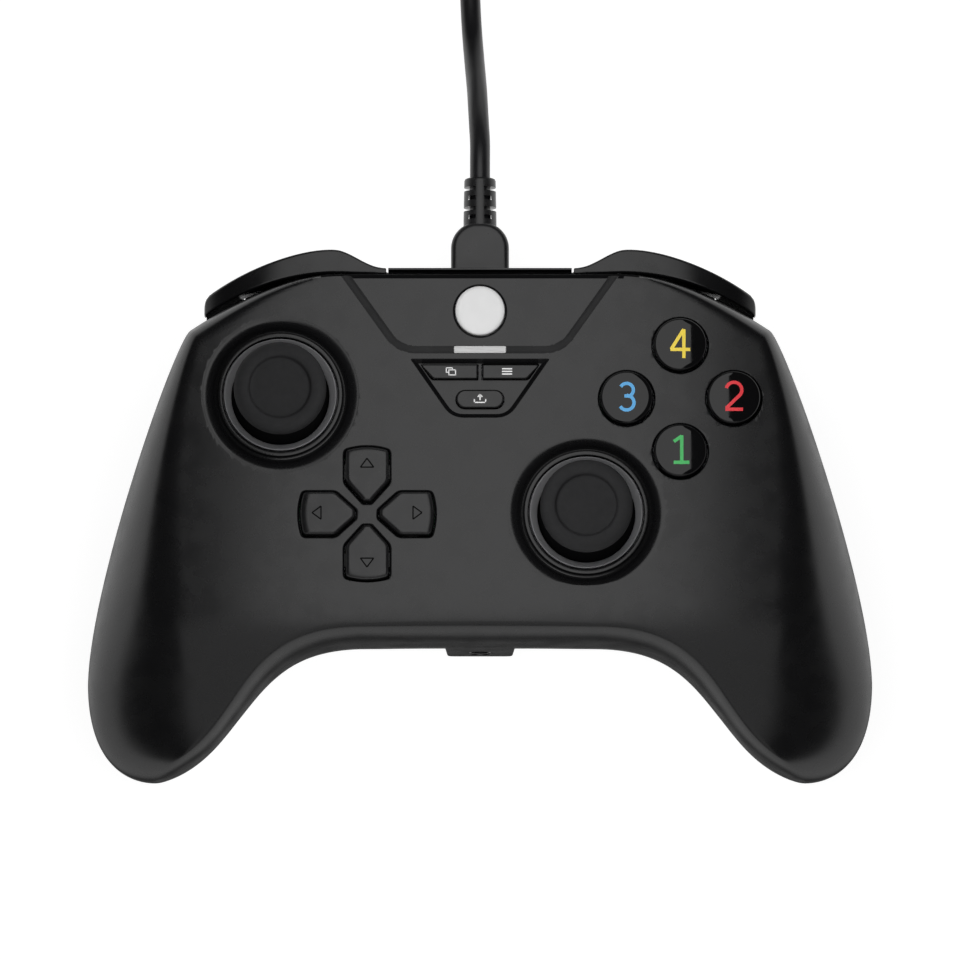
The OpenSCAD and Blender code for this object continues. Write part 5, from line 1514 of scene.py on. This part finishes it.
@dataclass
class ThumbStick:
    """One thumb stick: its rubber cap and the ring that its neck stands in.

    Attributes:
        hand: The side it is on.
        place: Its place on the face.
        cap_r: Radius of the cap.
        cap_top: Height of the cap above the pivot.
        neck_r: Radius of the neck.
        dome_r: Outer radius of the domed skirt under the face.
        dome_in: Its inner radius.
        seat_r: Radius of the hole in the face.
        mouth_r: Inside radius of the ring.
        skirt_top: Height above the pivot up to which the cap is painted the skirts' darker colour, a painted shade
            under the cap.
    """

    hand: Hand
    place: Pair
    cap_r: float = 9.05
    cap_top: float = 24.3
    neck_r: float = 3.4
    dome_r: float = 13.2
    dome_in: float = 12.0
    seat_r: float = 11.3
    mouth_r: float = 9.6
    skirt_top: float = 18.2

    def plinth(self) -> Solid:
        """The rim that stays level around the moat where the face falls away."""
        return lathe([(13.0, 40.9), (18.6, 40.9), (18.3, 41.6), (17.6, 42.6), (17.0, 43.3), (16.6, 43.65),
                      (16.2, 43.88), (15.8, 43.97), (13.0, 43.97)], 120).moved(*self.place)

    def tool(self) -> Solid:
        """The tool that cuts the moat, its inner collar and the seat of the ring.

        Returns:
            The tool.
        """
        r, floor, wide = self.seat_r, 42.24, 2.7
        slope = [(12.7 + wide * k / 16, PLAN.face_z - 0.02 - (PLAN.face_z - 0.02 - floor) * (1 - k / 16) ** 2.2)
                 for k in range(17)]
        profile = [(0, 36), (12.8, 36), (12.8, 40.8), (r, 40.8), (r, 43.54), (r + 0.03, 43.62), (r + 0.08, 43.67),
                   (r + 0.16, 43.7), (12.02, 43.7), (12.1, 43.67), (12.17, 43.6), (12.2, 43.48), (12.2, 42.75),
                   (12.26, 42.5), (12.42, 42.33), *slope, (15.65, 44.05), (0, 44.05)]
        return lathe(profile, 120).moved(*self.place)

    def build(self) -> None:
        """Build the cap with its skirt, and the ring."""
        word, z0 = self.hand.word, PLAN.pivot_z
        post_r, post_top = 1.525, 16.1
        low = [(self.dome_in * math.sin(a), self.dome_in * math.cos(a)) for a in
               (math.radians(between(7.3, 52, k / 12)) for k in range(13))]
        neck_a = math.degrees(math.asin(self.neck_r / self.dome_r))
        high = [(self.dome_r * math.sin(a), self.dome_r * math.cos(a)) for a in
                (math.radians(between(52, neck_a + 3, k / 12)) for k in range(13))]
        r, t, n = self.cap_r, self.cap_top, self.neck_r
        rim = [(n, 13.6), (n, 17.2), (n + 0.35, 17.9), (n + 1.2, 18.5), (r - 2.4, 19.3), (r - 1.0, 19.8),
               (r - 0.3, 20.5), (r, 21.4), (r, 22.5), (r - 0.06, 23.0), (r - 0.24, 23.45), (r - 0.52, 23.83),
               (r - 0.9, 24.1), (r - 1.35, 24.26), (r - 1.8, t), (6.8, t - 0.04), (6.45, t - 0.12),
               (6.22, t - 0.24), (6.08, t - 0.42), (6.0, t - 0.65), (5.94, t - 0.88), (5.84, t - 1.03),
               (5.66, t - 1.11), (5.4, t - 1.12), (4.8, t - 1.1), (2.5, t - 1.08), (0, t - 1.06)]
        profile = [(0, post_top), (post_r, post_top), *low, *high, *rim]
        cap = lathe(profile, 112).moved(*self.place, z0)
        cap_piece = cap.as_object(f"{word}_thumb_cap", RUBBER, 60.0)
        cap_piece.data.materials.append(SKIRT_SHADE.material())
        # Faces below the skirt's top get the darker colour: painted shade under the cap.
        for face in cap_piece.data.polygons:
            face.material_index = int(face.center.z < (z0 + self.skirt_top) * MM)
        fit(cap_piece, f"{word}_stick", "stick_rubber", f"{word}_stick_cap")
        s, m, face = self.seat_r - 0.3, self.mouth_r, PLAN.face_z
        ring = lathe([(m, 40.0), (12.5, 40.0), (12.5, 40.75), (s, 40.75), (s, face - 0.3), (s - 0.03, face - 0.22),
                      (s - 0.09, face - 0.2), (s - 0.16, face - 0.25), (m + 0.12, 41.6), (m, 41.3)], 120)
        fit(ring.moved(*self.place).as_object(f"{word}_neck_ring", ACETAL), "housing", "stick_ring_grey",
            f"{word}_stick_ring")


@dataclass
class Bumpers:
    """The two bumpers and the bridge between them.

    Attributes:
        form: The casing's form, which their inner edges follow.
        split: Where the inner ends are.
        end: Where the outer ends are.
        gap: Gap between the bumpers and the casing at their hinges and at their outer ends.
        bridge_deep: How far the bridge stands out behind the casing.
        low: Height of the undersides.
        high: Height of the tops.
        fall: How far the tops have fallen at the outer ends.
        fall_run: The length over which they fall.
        hinge: Place of the hinge pins.
    """

    form: CasingForm
    split: float = 18.4
    end: float = 54.1
    gap: Pair = (0.3, 1.5)
    bridge_deep: float = 1.7
    low: float = 28.3
    high: float = 36.8
    fall: float = 5.2
    fall_run: float = 20.0
    hinge: Pair = (16.5, 44.6)

    def lines(self) -> tuple[Loop, Loop]:
        """The right bumper's edges in plan, from its inner end to its outer end.

        Returns:
            The edge beside the casing and the edge at the back.
        """
        top, back = PLAN.top_y, PLAN.back_y
        s, e, near = self.split, self.end, PLAN.top_y + self.bridge_deep
        far = bezier_run([(s, near), (s + 4, near), (s + 7, back), (s + 10.4, back)], 14)
        far += bezier_run([(s + 11.4, back), (s + 18, back - 0.2), (e - 9, back - 3.7), (e - 1.2, back - 8.3)], 18)
        far += bezier_run([(e - 0.95, back - 8.5), (e - 0.3, back - 9.1), (e, back - 9.8), (e, back - 10.6)], 6)
        toe, root = self.form.place_at(e), 0.84
        close = [self.form.outer(between(root, toe, k / 24)) for k in range(25)]
        pin = self.hinge[0]
        return [(s, top + 0.4)] + [(x, y + between(*self.gap, (x - pin) / (e - pin))) for x, y in close], far

    def drop(self, x: float) -> float:
        """How far the top has curved down at a place along X."""
        return self.fall * max(0.0, 1 - (self.end - x) / self.fall_run) ** 4

    def build(self) -> None:
        """Build both bumpers and the bridge."""
        high, low = self.high, self.low
        near, far = self.lines()

        def section(x: float) -> Loop:
            """Outline of the right bumper across Y and Z."""
            a, b, top = height_on(near, x), height_on(far, x), high - self.drop(x)
            return soften([(a, low), (b, low), (b, top), (a, top)], min(0.6, (b - a) * 0.35), 5)

        bar = rail(section, self.split, self.end, (0.2, 0.4), 60)
        middle = low + 4.25
        post = lathe([(0, 41.8), (1.4, 41.8), (1.4, PLAN.top_y + 2.5), (0, PLAN.top_y + 2.5)], 32)
        post = post.mapped(lambda x, y, z: (x + 30, z, -y + low + 3.3))
        x, y = self.hinge
        arm = [(x, y - 1), (x + 2.6, y + 0.4), (self.split + 2, y + 2), (self.split + 2, y + 2.8),
               (self.split, y + 2.8), (x, y + 1)]
        arms = stack([(arm, middle - 1.15), (arm, middle + 1.15)])
        pin = lathe([(0, low + 1.5), (1, low + 1.5), (1, middle - 1.15), (1.6, middle - 1.15), (1.6, middle + 1.15),
                     (1, middle + 1.15), (1, high - 1.5), (0, high - 1.5)], 32).moved(x, y)
        for hand in Hand:
            piece = bar.plus(post, arms, pin).handed(hand).as_object(f"bumper_{hand.word}_bar", SATIN)
            fit(piece, f"{hand.word}_bumper", "bumper_black", f"{hand.word}_bumper")
        self.build_bridge()

    def build_bridge(self) -> None:
        """Build the strip between the bumpers: a channel with a thin back wall, pegs and hinge eyes."""
        high, low = self.high, self.low
        near, far, half = PLAN.top_y + 0.25, PLAN.top_y + self.bridge_deep, self.split - 0.4
        wall = [(near, low), (far, low), (far, high - 0.12), (far - 0.1, high), (far - 0.34, high),
                (far - 0.45, high - 0.12), (far - 0.5, high - 2.2), (near, high - 2.6)]
        bridge = rail(lambda x: wall, -half, half, (0.05, 0.05), 4).as_object("bridge_strip", SATIN)
        x, y = self.hinge
        pegs = lathe([(0, 43), (1.5, 43), (1.5, 46.5), (0, 46.5)], 32)
        extra, bores = [], []
        for side in (-1, 1):
            extra.append(pegs.mapped(lambda a, b, c, s=side: (a + s * 9, c, -b + (low + high) / 2)))
            a, b = sorted((side * (x - 1.9), side * (x + 1.5)))
            extra += [block((a, y - 1.6, z), (b, PLAN.top_y + 0.5, z + 1.3)) for z in (low + 1.5, high - 2.8)]
            bores.append(lathe([(0, low), (1.05, low), (1.05, high), (0, high)], 32).moved(side * x, y))
            a, b = sorted((side * (x - 2.2), side * self.split))
            bores.append(block((a, y, low + 2.8), (b, far + 1, high - 2.8)))
        carve(bridge, extra, Cut.JOIN)
        carve(bridge, bores, Cut.TAKE)
        fit(bridge, "housing", "shell_front", "top_bridge")


@dataclass
class Triggers:
    """The two triggers: curved paddles on arms that turn on pins.

    Attributes:
        inside: Where the inner edges are.
        width: Width of the paddles.
        hub_width: Width of the hubs.
        pivot: Place of the pins along Y and Z.
        hub_r: Radius of the hubs.
        tip_z: Height of the tips.
    """

    inside: float = 27.6
    width: float = 18.55
    hub_width: float = 13.2
    pivot: Pair = (35.4, 22.0)
    hub_r: float = 2.6
    tip_z: float = 6.4

    def face(self) -> Loop:
        """Outline of a paddle across Y and Z, counter-clockwise.

        Returns:
            The outline.
        """
        b, s, t = PLAN.back_y, PLAN.seam_z, self.tip_z
        loop = bezier_run([(b - 6.4, s - 2.2), (b - 2.9, s - 2.2), (b - 1, s - 5.5), (b - 1, s - 10)], 14)
        loop += bezier_run([(b - 1, s - 10.5), (b - 1, s - 14), (b - 2.8, t + 3.6), (b - 0.45, t + 0.35)], 14)
        loop += bezier_run([(b - 0.6, t), (b - 0.9, t - 0.2), (b - 1.3, t - 0.25), (b - 1.7, t - 0.2)], 4)
        loop += bezier_run([(b - 3.4, t + 0.1), (b - 7, t + 2.6), (b - 10.2, s - 14), (b - 10.2, s - 9)], 14)
        return list(reversed(loop))

    def build(self) -> None:
        """Build both triggers."""
        y, z = self.pivot
        b, s = PLAN.back_y, PLAN.seam_z
        x0, x1, hub = self.inside, self.inside + self.width, self.inside + self.hub_width
        face = self.face()

        def section(x: float) -> Loop:
            """Outline of a paddle, drawn in towards its outer back corner."""
            trim = 2.2 * max(0.0, (x - x0 - 10) / (self.width - 10)) ** 2
            return [(p - trim * max(0.0, (p - b + 10) / 10), q) for p, q in face]

        paddle = rail(section, x0, x1, (1.1, 0.3), 16)
        arm = [(b - 6.4, s - 2.3), (y, z + self.hub_r), (y, z - self.hub_r), (b - 10.0, s - 9), (b - 4, s - 8)]
        arms = []
        for low, high in ((x0, x0 + 4.6), (x0 + 8.6, hub)):
            arms.append(stack([(arm, low), (arm, high)]).sideways())
            ring = [(1.25, low), (self.hub_r, low), (self.hub_r, high), (1.25, high)]
            arms.append(lathe(ring, 48).mapped(lambda a, c, h: (h, a + y, c + z)))
        for hand in Hand:
            piece = paddle.plus(*arms).handed(hand).as_object(f"trigger_{hand.word}_paddle", SATIN)
            fit(piece, f"{hand.word}_trigger", "trigger_black", f"{hand.word}_trigger")


@dataclass
class Casing:
    """Both shells with their openings, and the screws.

    Attributes:
        form: The shells' form.
        screws: Places of the screws.
        screw_seat: Depth of the screws' seats above the underside.
        head_r: Radius of the screws' heads.
        edge_deep: How far the painted shade along the front shell's top edge reaches in from that edge.
        edge_fade: How far from the middle that painted shade starts to narrow, and where it ends.
        edge_thin: How much narrower it is where it ends.
    """

    form: CasingForm
    screws: tuple[Pair, ...] = ((16, 36), (-16, 36), (0, 10), (50, -8), (-50, -8))
    screw_seat: float = 6.0
    head_r: float = 2.4
    edge_deep: float = 1.38
    edge_fade: Pair = (26.0, 36.0)
    edge_thin: float = 0.8

    def build(self, sticks: Sequence[ThumbStick], buttons: FaceButtons, keys: DirectionPad, middle: MiddleKeys,
              triggers: Triggers, bumpers: Bumpers) -> None:
        """Build the shells around the controls.

        Args:
            sticks: The thumb sticks.
            buttons: The round buttons.
            keys: The direction keys.
            middle: The keys in the middle.
            triggers: The triggers.
            bumpers: The bumpers.
        """
        self.build_front(sticks, buttons, keys, middle, bumpers)
        self.build_rear(triggers, bumpers)
        self.build_screws()

    def build_front(self, sticks: Sequence[ThumbStick], buttons: FaceButtons, keys: DirectionPad,
                    middle: MiddleKeys, bumpers: Bumpers) -> None:
        """Build the front shell.

        Args:
            sticks: The thumb sticks.
            buttons: The round buttons.
            keys: The direction keys.
            middle: The keys in the middle.
            bumpers: The bumpers.
        """
        front = self.form.shell(Half.FRONT).as_object("casing_front", SHELL)
        carve(front, [stick.plinth() for stick in sticks if stick.hand is Hand.LEFT], Cut.JOIN)
        top, low, high = PLAN.top_y, bumpers.low, bumpers.high
        tools = [stick.tool() for stick in sticks] + buttons.tools() + keys.tools() + middle.tools()
        for side in (-1, 1):
            a, b = sorted((side * 14.2, side * 22.5))
            tools.append(block((a, top - 3.2, low + 1.2), (b, top + 1, high - 1.2)))
            for x, z, r in ((9, (low + high) / 2, 1.55), (30, low + 3.3, 2.2)):
                hole = lathe([(0, top - 6), (r, top - 6), (r, top + 1), (0, top + 1)], 32)
                tools.append(hole.mapped(lambda p, q, h, x=x, z=z, s=side: (p + s * x, h, z - q)))
        carve(front, tools, Cut.TAKE)
        self.dress_front(front, middle)
        fit(front, "housing", "shell_front", "front_shell")

    def dress_front(self, front: bpy.types.Object, middle: MiddleKeys) -> None:
        """Give the face's groove a finish of its own, and paint shade along the top edge.

        Args:
            front: The front shell.
            middle: The keys in the middle, which the groove runs past.
        """
        front.data.materials.append(GROOVE.material())
        front.data.materials.append(EDGE_SHADE.material())
        groove = inset(middle.groove(), -0.05)
        start, end = self.edge_fade
        for face in front.data.polygons:
            # A bent face's centre can lie outside the groove, but the middle of its first edge lies on the face.
            a, b = (front.data.vertices[k].co for k in face.vertices[:2])
            x, y, z = ((p + q) / 2 / MM for p, q in zip(a, b))
            if face.normal.z > 0.5 and 0.001 < PLAN.face_z - z < 0.2 and within(groove, x, y):
                face.material_index = 1
            # Faces along the top edge get the darker finish: painted shade for the gap behind the face.
            away = abs(face.center.x) / MM
            rim = self.form.outer(self.form.place_at(away))[1]
            deep = self.edge_deep - self.edge_thin * smooth((away - start) / (end - start))
            if away < end and face.center.y / MM > rim - deep:
                face.material_index = 2

    def build_rear(self, triggers: Triggers, bumpers: Bumpers) -> None:
        """Build the rear shell with its screw bosses, trigger windows and openings for plug and jack.

        Args:
            triggers: The triggers.
            bumpers: The bumpers.
        """
        rear = self.form.shell(Half.REAR).as_object("casing_rear", SHELL)
        arch, jack, deep = PLAN.arch_y, PLAN.jack_z, 3.0
        surround = [(-7.0, -24.8), (7.0, -24.8), (6.4, 4.6 - jack), (-6.4, 4.6 - jack)]
        nose = pad(lambda by: soften(inset(surround, -by), [0.4, 0.4, 1.1, 1.1]),
                   arch, arch + deep, 0.0, 0.3).lying()
        bosses = []
        for x, y in self.screws:
            low = self.form.underside(x, y) + 1
            bosses.append(lathe([(0, low), (3.2, low), (3.2, 24), (0, 24)], 40).moved(x, y))
        windows = []
        for side in (-1, 1):
            a, b = sorted((side * (triggers.inside - 0.5), side * (triggers.inside + triggers.width + 0.2)))
            windows.append(block((a, 38.5, 3), (b, PLAN.back_y + 2, PLAN.seam_z - 1.4)))
        carve(rear, windows, Cut.TAKE)
        carve(rear, [nose, *bosses, *self.shelves(triggers, bumpers)], Cut.JOIN)
        z, top = PLAN.port_z, PLAN.top_y
        mouth = soften([(-6, z - 3.8), (6, z - 3.8), (6, z + 3.8), (-6, z + 3.8)], 1.3)
        tools = [stack([([(x, -h) for x, h in reversed(mouth)], top - 6),
                        ([(x, -h) for x, h in reversed(mouth)], top + 2)]).lying()]
        bore = lathe([(0, arch - 1), (2.85, arch - 1), (2.35, arch + 0.25), (2.35, arch + 6), (0, arch + 6)], 48)
        tools.append(bore.mapped(lambda p, q, h: (p, h, jack - q)))
        for x, y in self.screws:
            seat = self.form.underside(x, y) + self.screw_seat
            tools.append(lathe([(0, -1), (3.05, -1), (self.head_r + 0.25, self.form.underside(x, y) + 0.45),
                                (self.head_r + 0.25, seat), (1.2, seat), (1.2, 25), (0, 25)], 40).moved(x, y))
        carve(rear, tools, Cut.TAKE)
        fit(rear, "housing", "shell_rear", "rear_shell")

    def shelves(self, triggers: Triggers, bumpers: Bumpers) -> list[Solid]:
        """The shelves that close the gap under the bumpers on both sides of the triggers.

        Args:
            triggers: The triggers.
            bumpers: The bumpers.

        Returns:
            Two shelves for each side.
        """
        reach, thick, high, low = 2.2, 2.0, PLAN.seam_z - 0.4, PLAN.seam_z - 1.4
        start = self.form.place_at(triggers.inside + triggers.width + 0.22)
        end = self.form.place_at(bumpers.end - 0.4)
        line = [self.form.outer(between(start, end, k / 10)) for k in range(11)]
        plan = [(x, y - 1) for x, y in line] + [(x, y + reach) for x, y in reversed(line)]
        made = []
        for hand in Hand:
            made.append(block((bumpers.split - 1.5, PLAN.top_y - 1, high - thick),
                              (triggers.inside - 0.6, PLAN.top_y + reach, high)).handed(hand))
            made.append(stack([(plan, low - thick), (plan, low)]).handed(hand))
        return made

    def build_screws(self) -> None:
        """Build the five case screws with cross recesses in their heads."""
        made, crosses = Solid(), []
        for x, y in self.screws:
            seat = self.form.underside(x, y) + self.screw_seat
            low, r = seat - 1.8, self.head_r
            made = made.plus(lathe([(0, low), (r - 0.9, low + 0.06), (r - 0.35, low + 0.3), (r, low + 0.8), (r, seat),
                                    (1.15, seat), (1.15, 32), (0.3, 33), (0, 33)], 40).moved(x, y))
            crosses += [block((x - 1.4, y - 0.28, low - 1), (x + 1.4, y + 0.28, low + 1)),
                        block((x - 0.28, y - 1.4, low - 1), (x + 0.28, y + 1.4, low + 0.98))]
        screws = made.as_object("case_screw_set", STEEL)
        carve(screws, crosses, Cut.TAKE)
        fit(screws, "housing", "steel", "case_screws")


class Inside:
    """The parts inside the casing, which keep their solids and get their real finishes."""

    def dress(self) -> None:
        """Give every solid that still shows the finish of its slot."""
        slots = {part["node"]: part["material_slot"] for part in frame["record"]["subparts"]}
        for name, solid in frame["nodes"].items():
            if solid.hide_render:
                continue
            made = SLOT_FINISHES[slots[name]].material()
            solid.data.materials.clear()
            solid.data.materials.append(made)
            LOG.info("%s keeps its solid, in %s", name, made.name)


@dataclass
class Studio:
    """The camera, the white floor, the soft lights and the surroundings.

    Attributes:
        elevation: How far above the horizon the camera looks from, in degrees.
        target: What it looks at, in metres.
        distance: How far away it stands, in metres.
        view_width: Width of the view at the target, in metres.
    """

    elevation: float = 81.5
    target: Triple = (0.0, 0.00664, 0.030)
    distance: float = 6.0
    view_width: float = 0.1883

    def camera(self) -> None:
        """Place the camera at the photograph's angle."""
        lens = bpy.data.cameras.new("camera")
        lens.sensor_width = 36.0
        lens.lens = 36.0 * self.distance / self.view_width
        lens.clip_end = 100.0
        camera = bpy.data.objects.new("camera", lens)
        bpy.context.scene.collection.objects.link(camera)
        e = math.radians(self.elevation)
        back = Vector((0, -math.cos(e), math.sin(e)))
        camera.location = Vector(self.target) + back * self.distance
        camera.rotation_mode = "QUATERNION"
        camera.rotation_quaternion = (-back).to_track_quat("-Z", "Y")
        bpy.context.scene.camera = camera
        bpy.context.scene.view_settings.view_transform = "Standard"

    def floor(self) -> None:
        """Lay a large white floor that keeps a faint shadow."""
        half = 20.0
        mesh = bpy.data.meshes.new("floor")
        mesh.from_pydata([(-half, -half, 0), (half, -half, 0), (half, half, 0), (-half, half, 0)], [], [(0, 1, 2, 3)])
        floor = bpy.data.objects.new("floor", mesh)
        bpy.context.scene.collection.objects.link(floor)
        paper = bpy.data.materials.new("paper_backdrop_white")
        paper.use_nodes = True
        tree = paper.node_tree
        tree.nodes.clear()
        ray = add_node(tree, "ShaderNodeLightPath", {})
        seen = add_node(tree, "ShaderNodeMath", {0: ray.outputs["Is Camera Ray"], 1: ray.outputs["Is Glossy Ray"]},
                        operation="MAXIMUM")
        seen = add_node(tree, "ShaderNodeMath", {0: seen.outputs[0], 1: ray.outputs["Is Transmission Ray"]},
                        operation="MAXIMUM")
        plain = add_node(tree, "ShaderNodeBsdfDiffuse", {"Color": srgb("#e6e6e6")})
        dim = add_node(tree, "ShaderNodeBsdfDiffuse", {"Color": srgb("#9a9a9a")})
        glow = add_node(tree, "ShaderNodeEmission", {"Color": srgb("#ffffff"), "Strength": 0.9})
        white = add_node(tree, "ShaderNodeAddShader", {0: dim.outputs[0], 1: glow.outputs[0]})
        mix = add_node(tree, "ShaderNodeMixShader", {0: seen.outputs[0], 1: plain.outputs[0], 2: white.outputs[0]})
        add_node(tree, "ShaderNodeOutputMaterial", {"Surface": mix.outputs[0]})
        mesh.materials.append(paper)

    def lamp(self, name: str, place: Triple, size: Pair, watts: float) -> bpy.types.Object:
        """Hang one soft light that faces down.

        Args:
            name: The light's name.
            place: Its place in metres.
            size: Its width and depth in metres.
            watts: Its power.

        Returns:
            The light.
        """
        light = bpy.data.lights.new(name, "AREA")
        light.shape = "RECTANGLE"
        light.size, light.size_y = size
        light.energy = watts
        made = bpy.data.objects.new(name, light)
        made.location = place
        made.visible_camera = False
        bpy.context.scene.collection.objects.link(made)
        return made

    def light(self) -> None:
        """Hang a softbox close over the face, a card in front of it and a wide fill, and shade the surroundings."""
        self.lamp("softbox", (0, 0.015, 0.134), (0.094, 0.220), 0.094)
        self.lamp("front_card", (0, -0.2125, 0.134), (0.17, 0.235), 0.063)
        fill = self.lamp("fill", (0, 0, 1.5), (2.0, 2.0), 11.0)
        fill.visible_glossy = False
        world = bpy.data.worlds.new("studio")
        world.use_nodes = True
        tree = world.node_tree
        where = add_node(tree, "ShaderNodeTexCoord", {})
        split = add_node(tree, "ShaderNodeSeparateXYZ", {0: where.outputs["Generated"]})
        ramp = add_node(tree, "ShaderNodeValToRGB", {0: split.outputs["Z"]})
        stops = ((0.0, "#ffffff"), (0.07, "#e0e0e0"), (0.2, "#606060"), (0.34, "#2c2c2c"))
        ramp.color_ramp.elements[0].position, ramp.color_ramp.elements[0].color = stops[0][0], srgb(stops[0][1])
        ramp.color_ramp.elements[1].position, ramp.color_ramp.elements[1].color = stops[-1][0], srgb(stops[-1][1])
        for place, colour in stops[1:-1]:
            ramp.color_ramp.elements.new(place).color = srgb(colour)
        tree.links.new(ramp.outputs["Color"], tree.nodes["Background"].inputs["Color"])
        bpy.context.scene.world = world

    def build(self) -> None:
        """Lay the floor and hang the lights."""
        self.floor()
        self.light()


def main() -> None:
    """Build the studio and every sub-assembly in order."""
    logging.basicConfig(level=logging.INFO, format="%(name)s: %(message)s")
    studio = Studio()
    studio.camera()
    Lead().build()
    form = CasingForm()
    sticks = [ThumbStick(hand, place) for hand, place in PLAN.sticks]
    buttons, keys, middle = FaceButtons(), DirectionPad(), MiddleKeys()
    triggers, bumpers = Triggers(), Bumpers(form)
    for part in (*sticks, buttons, keys, middle, triggers, bumpers):
        part.build()
    Casing(form).build(sticks, buttons, keys, middle, triggers, bumpers)
    Inside().dress()
    studio.build()


if __name__ == "__main__":
    main()
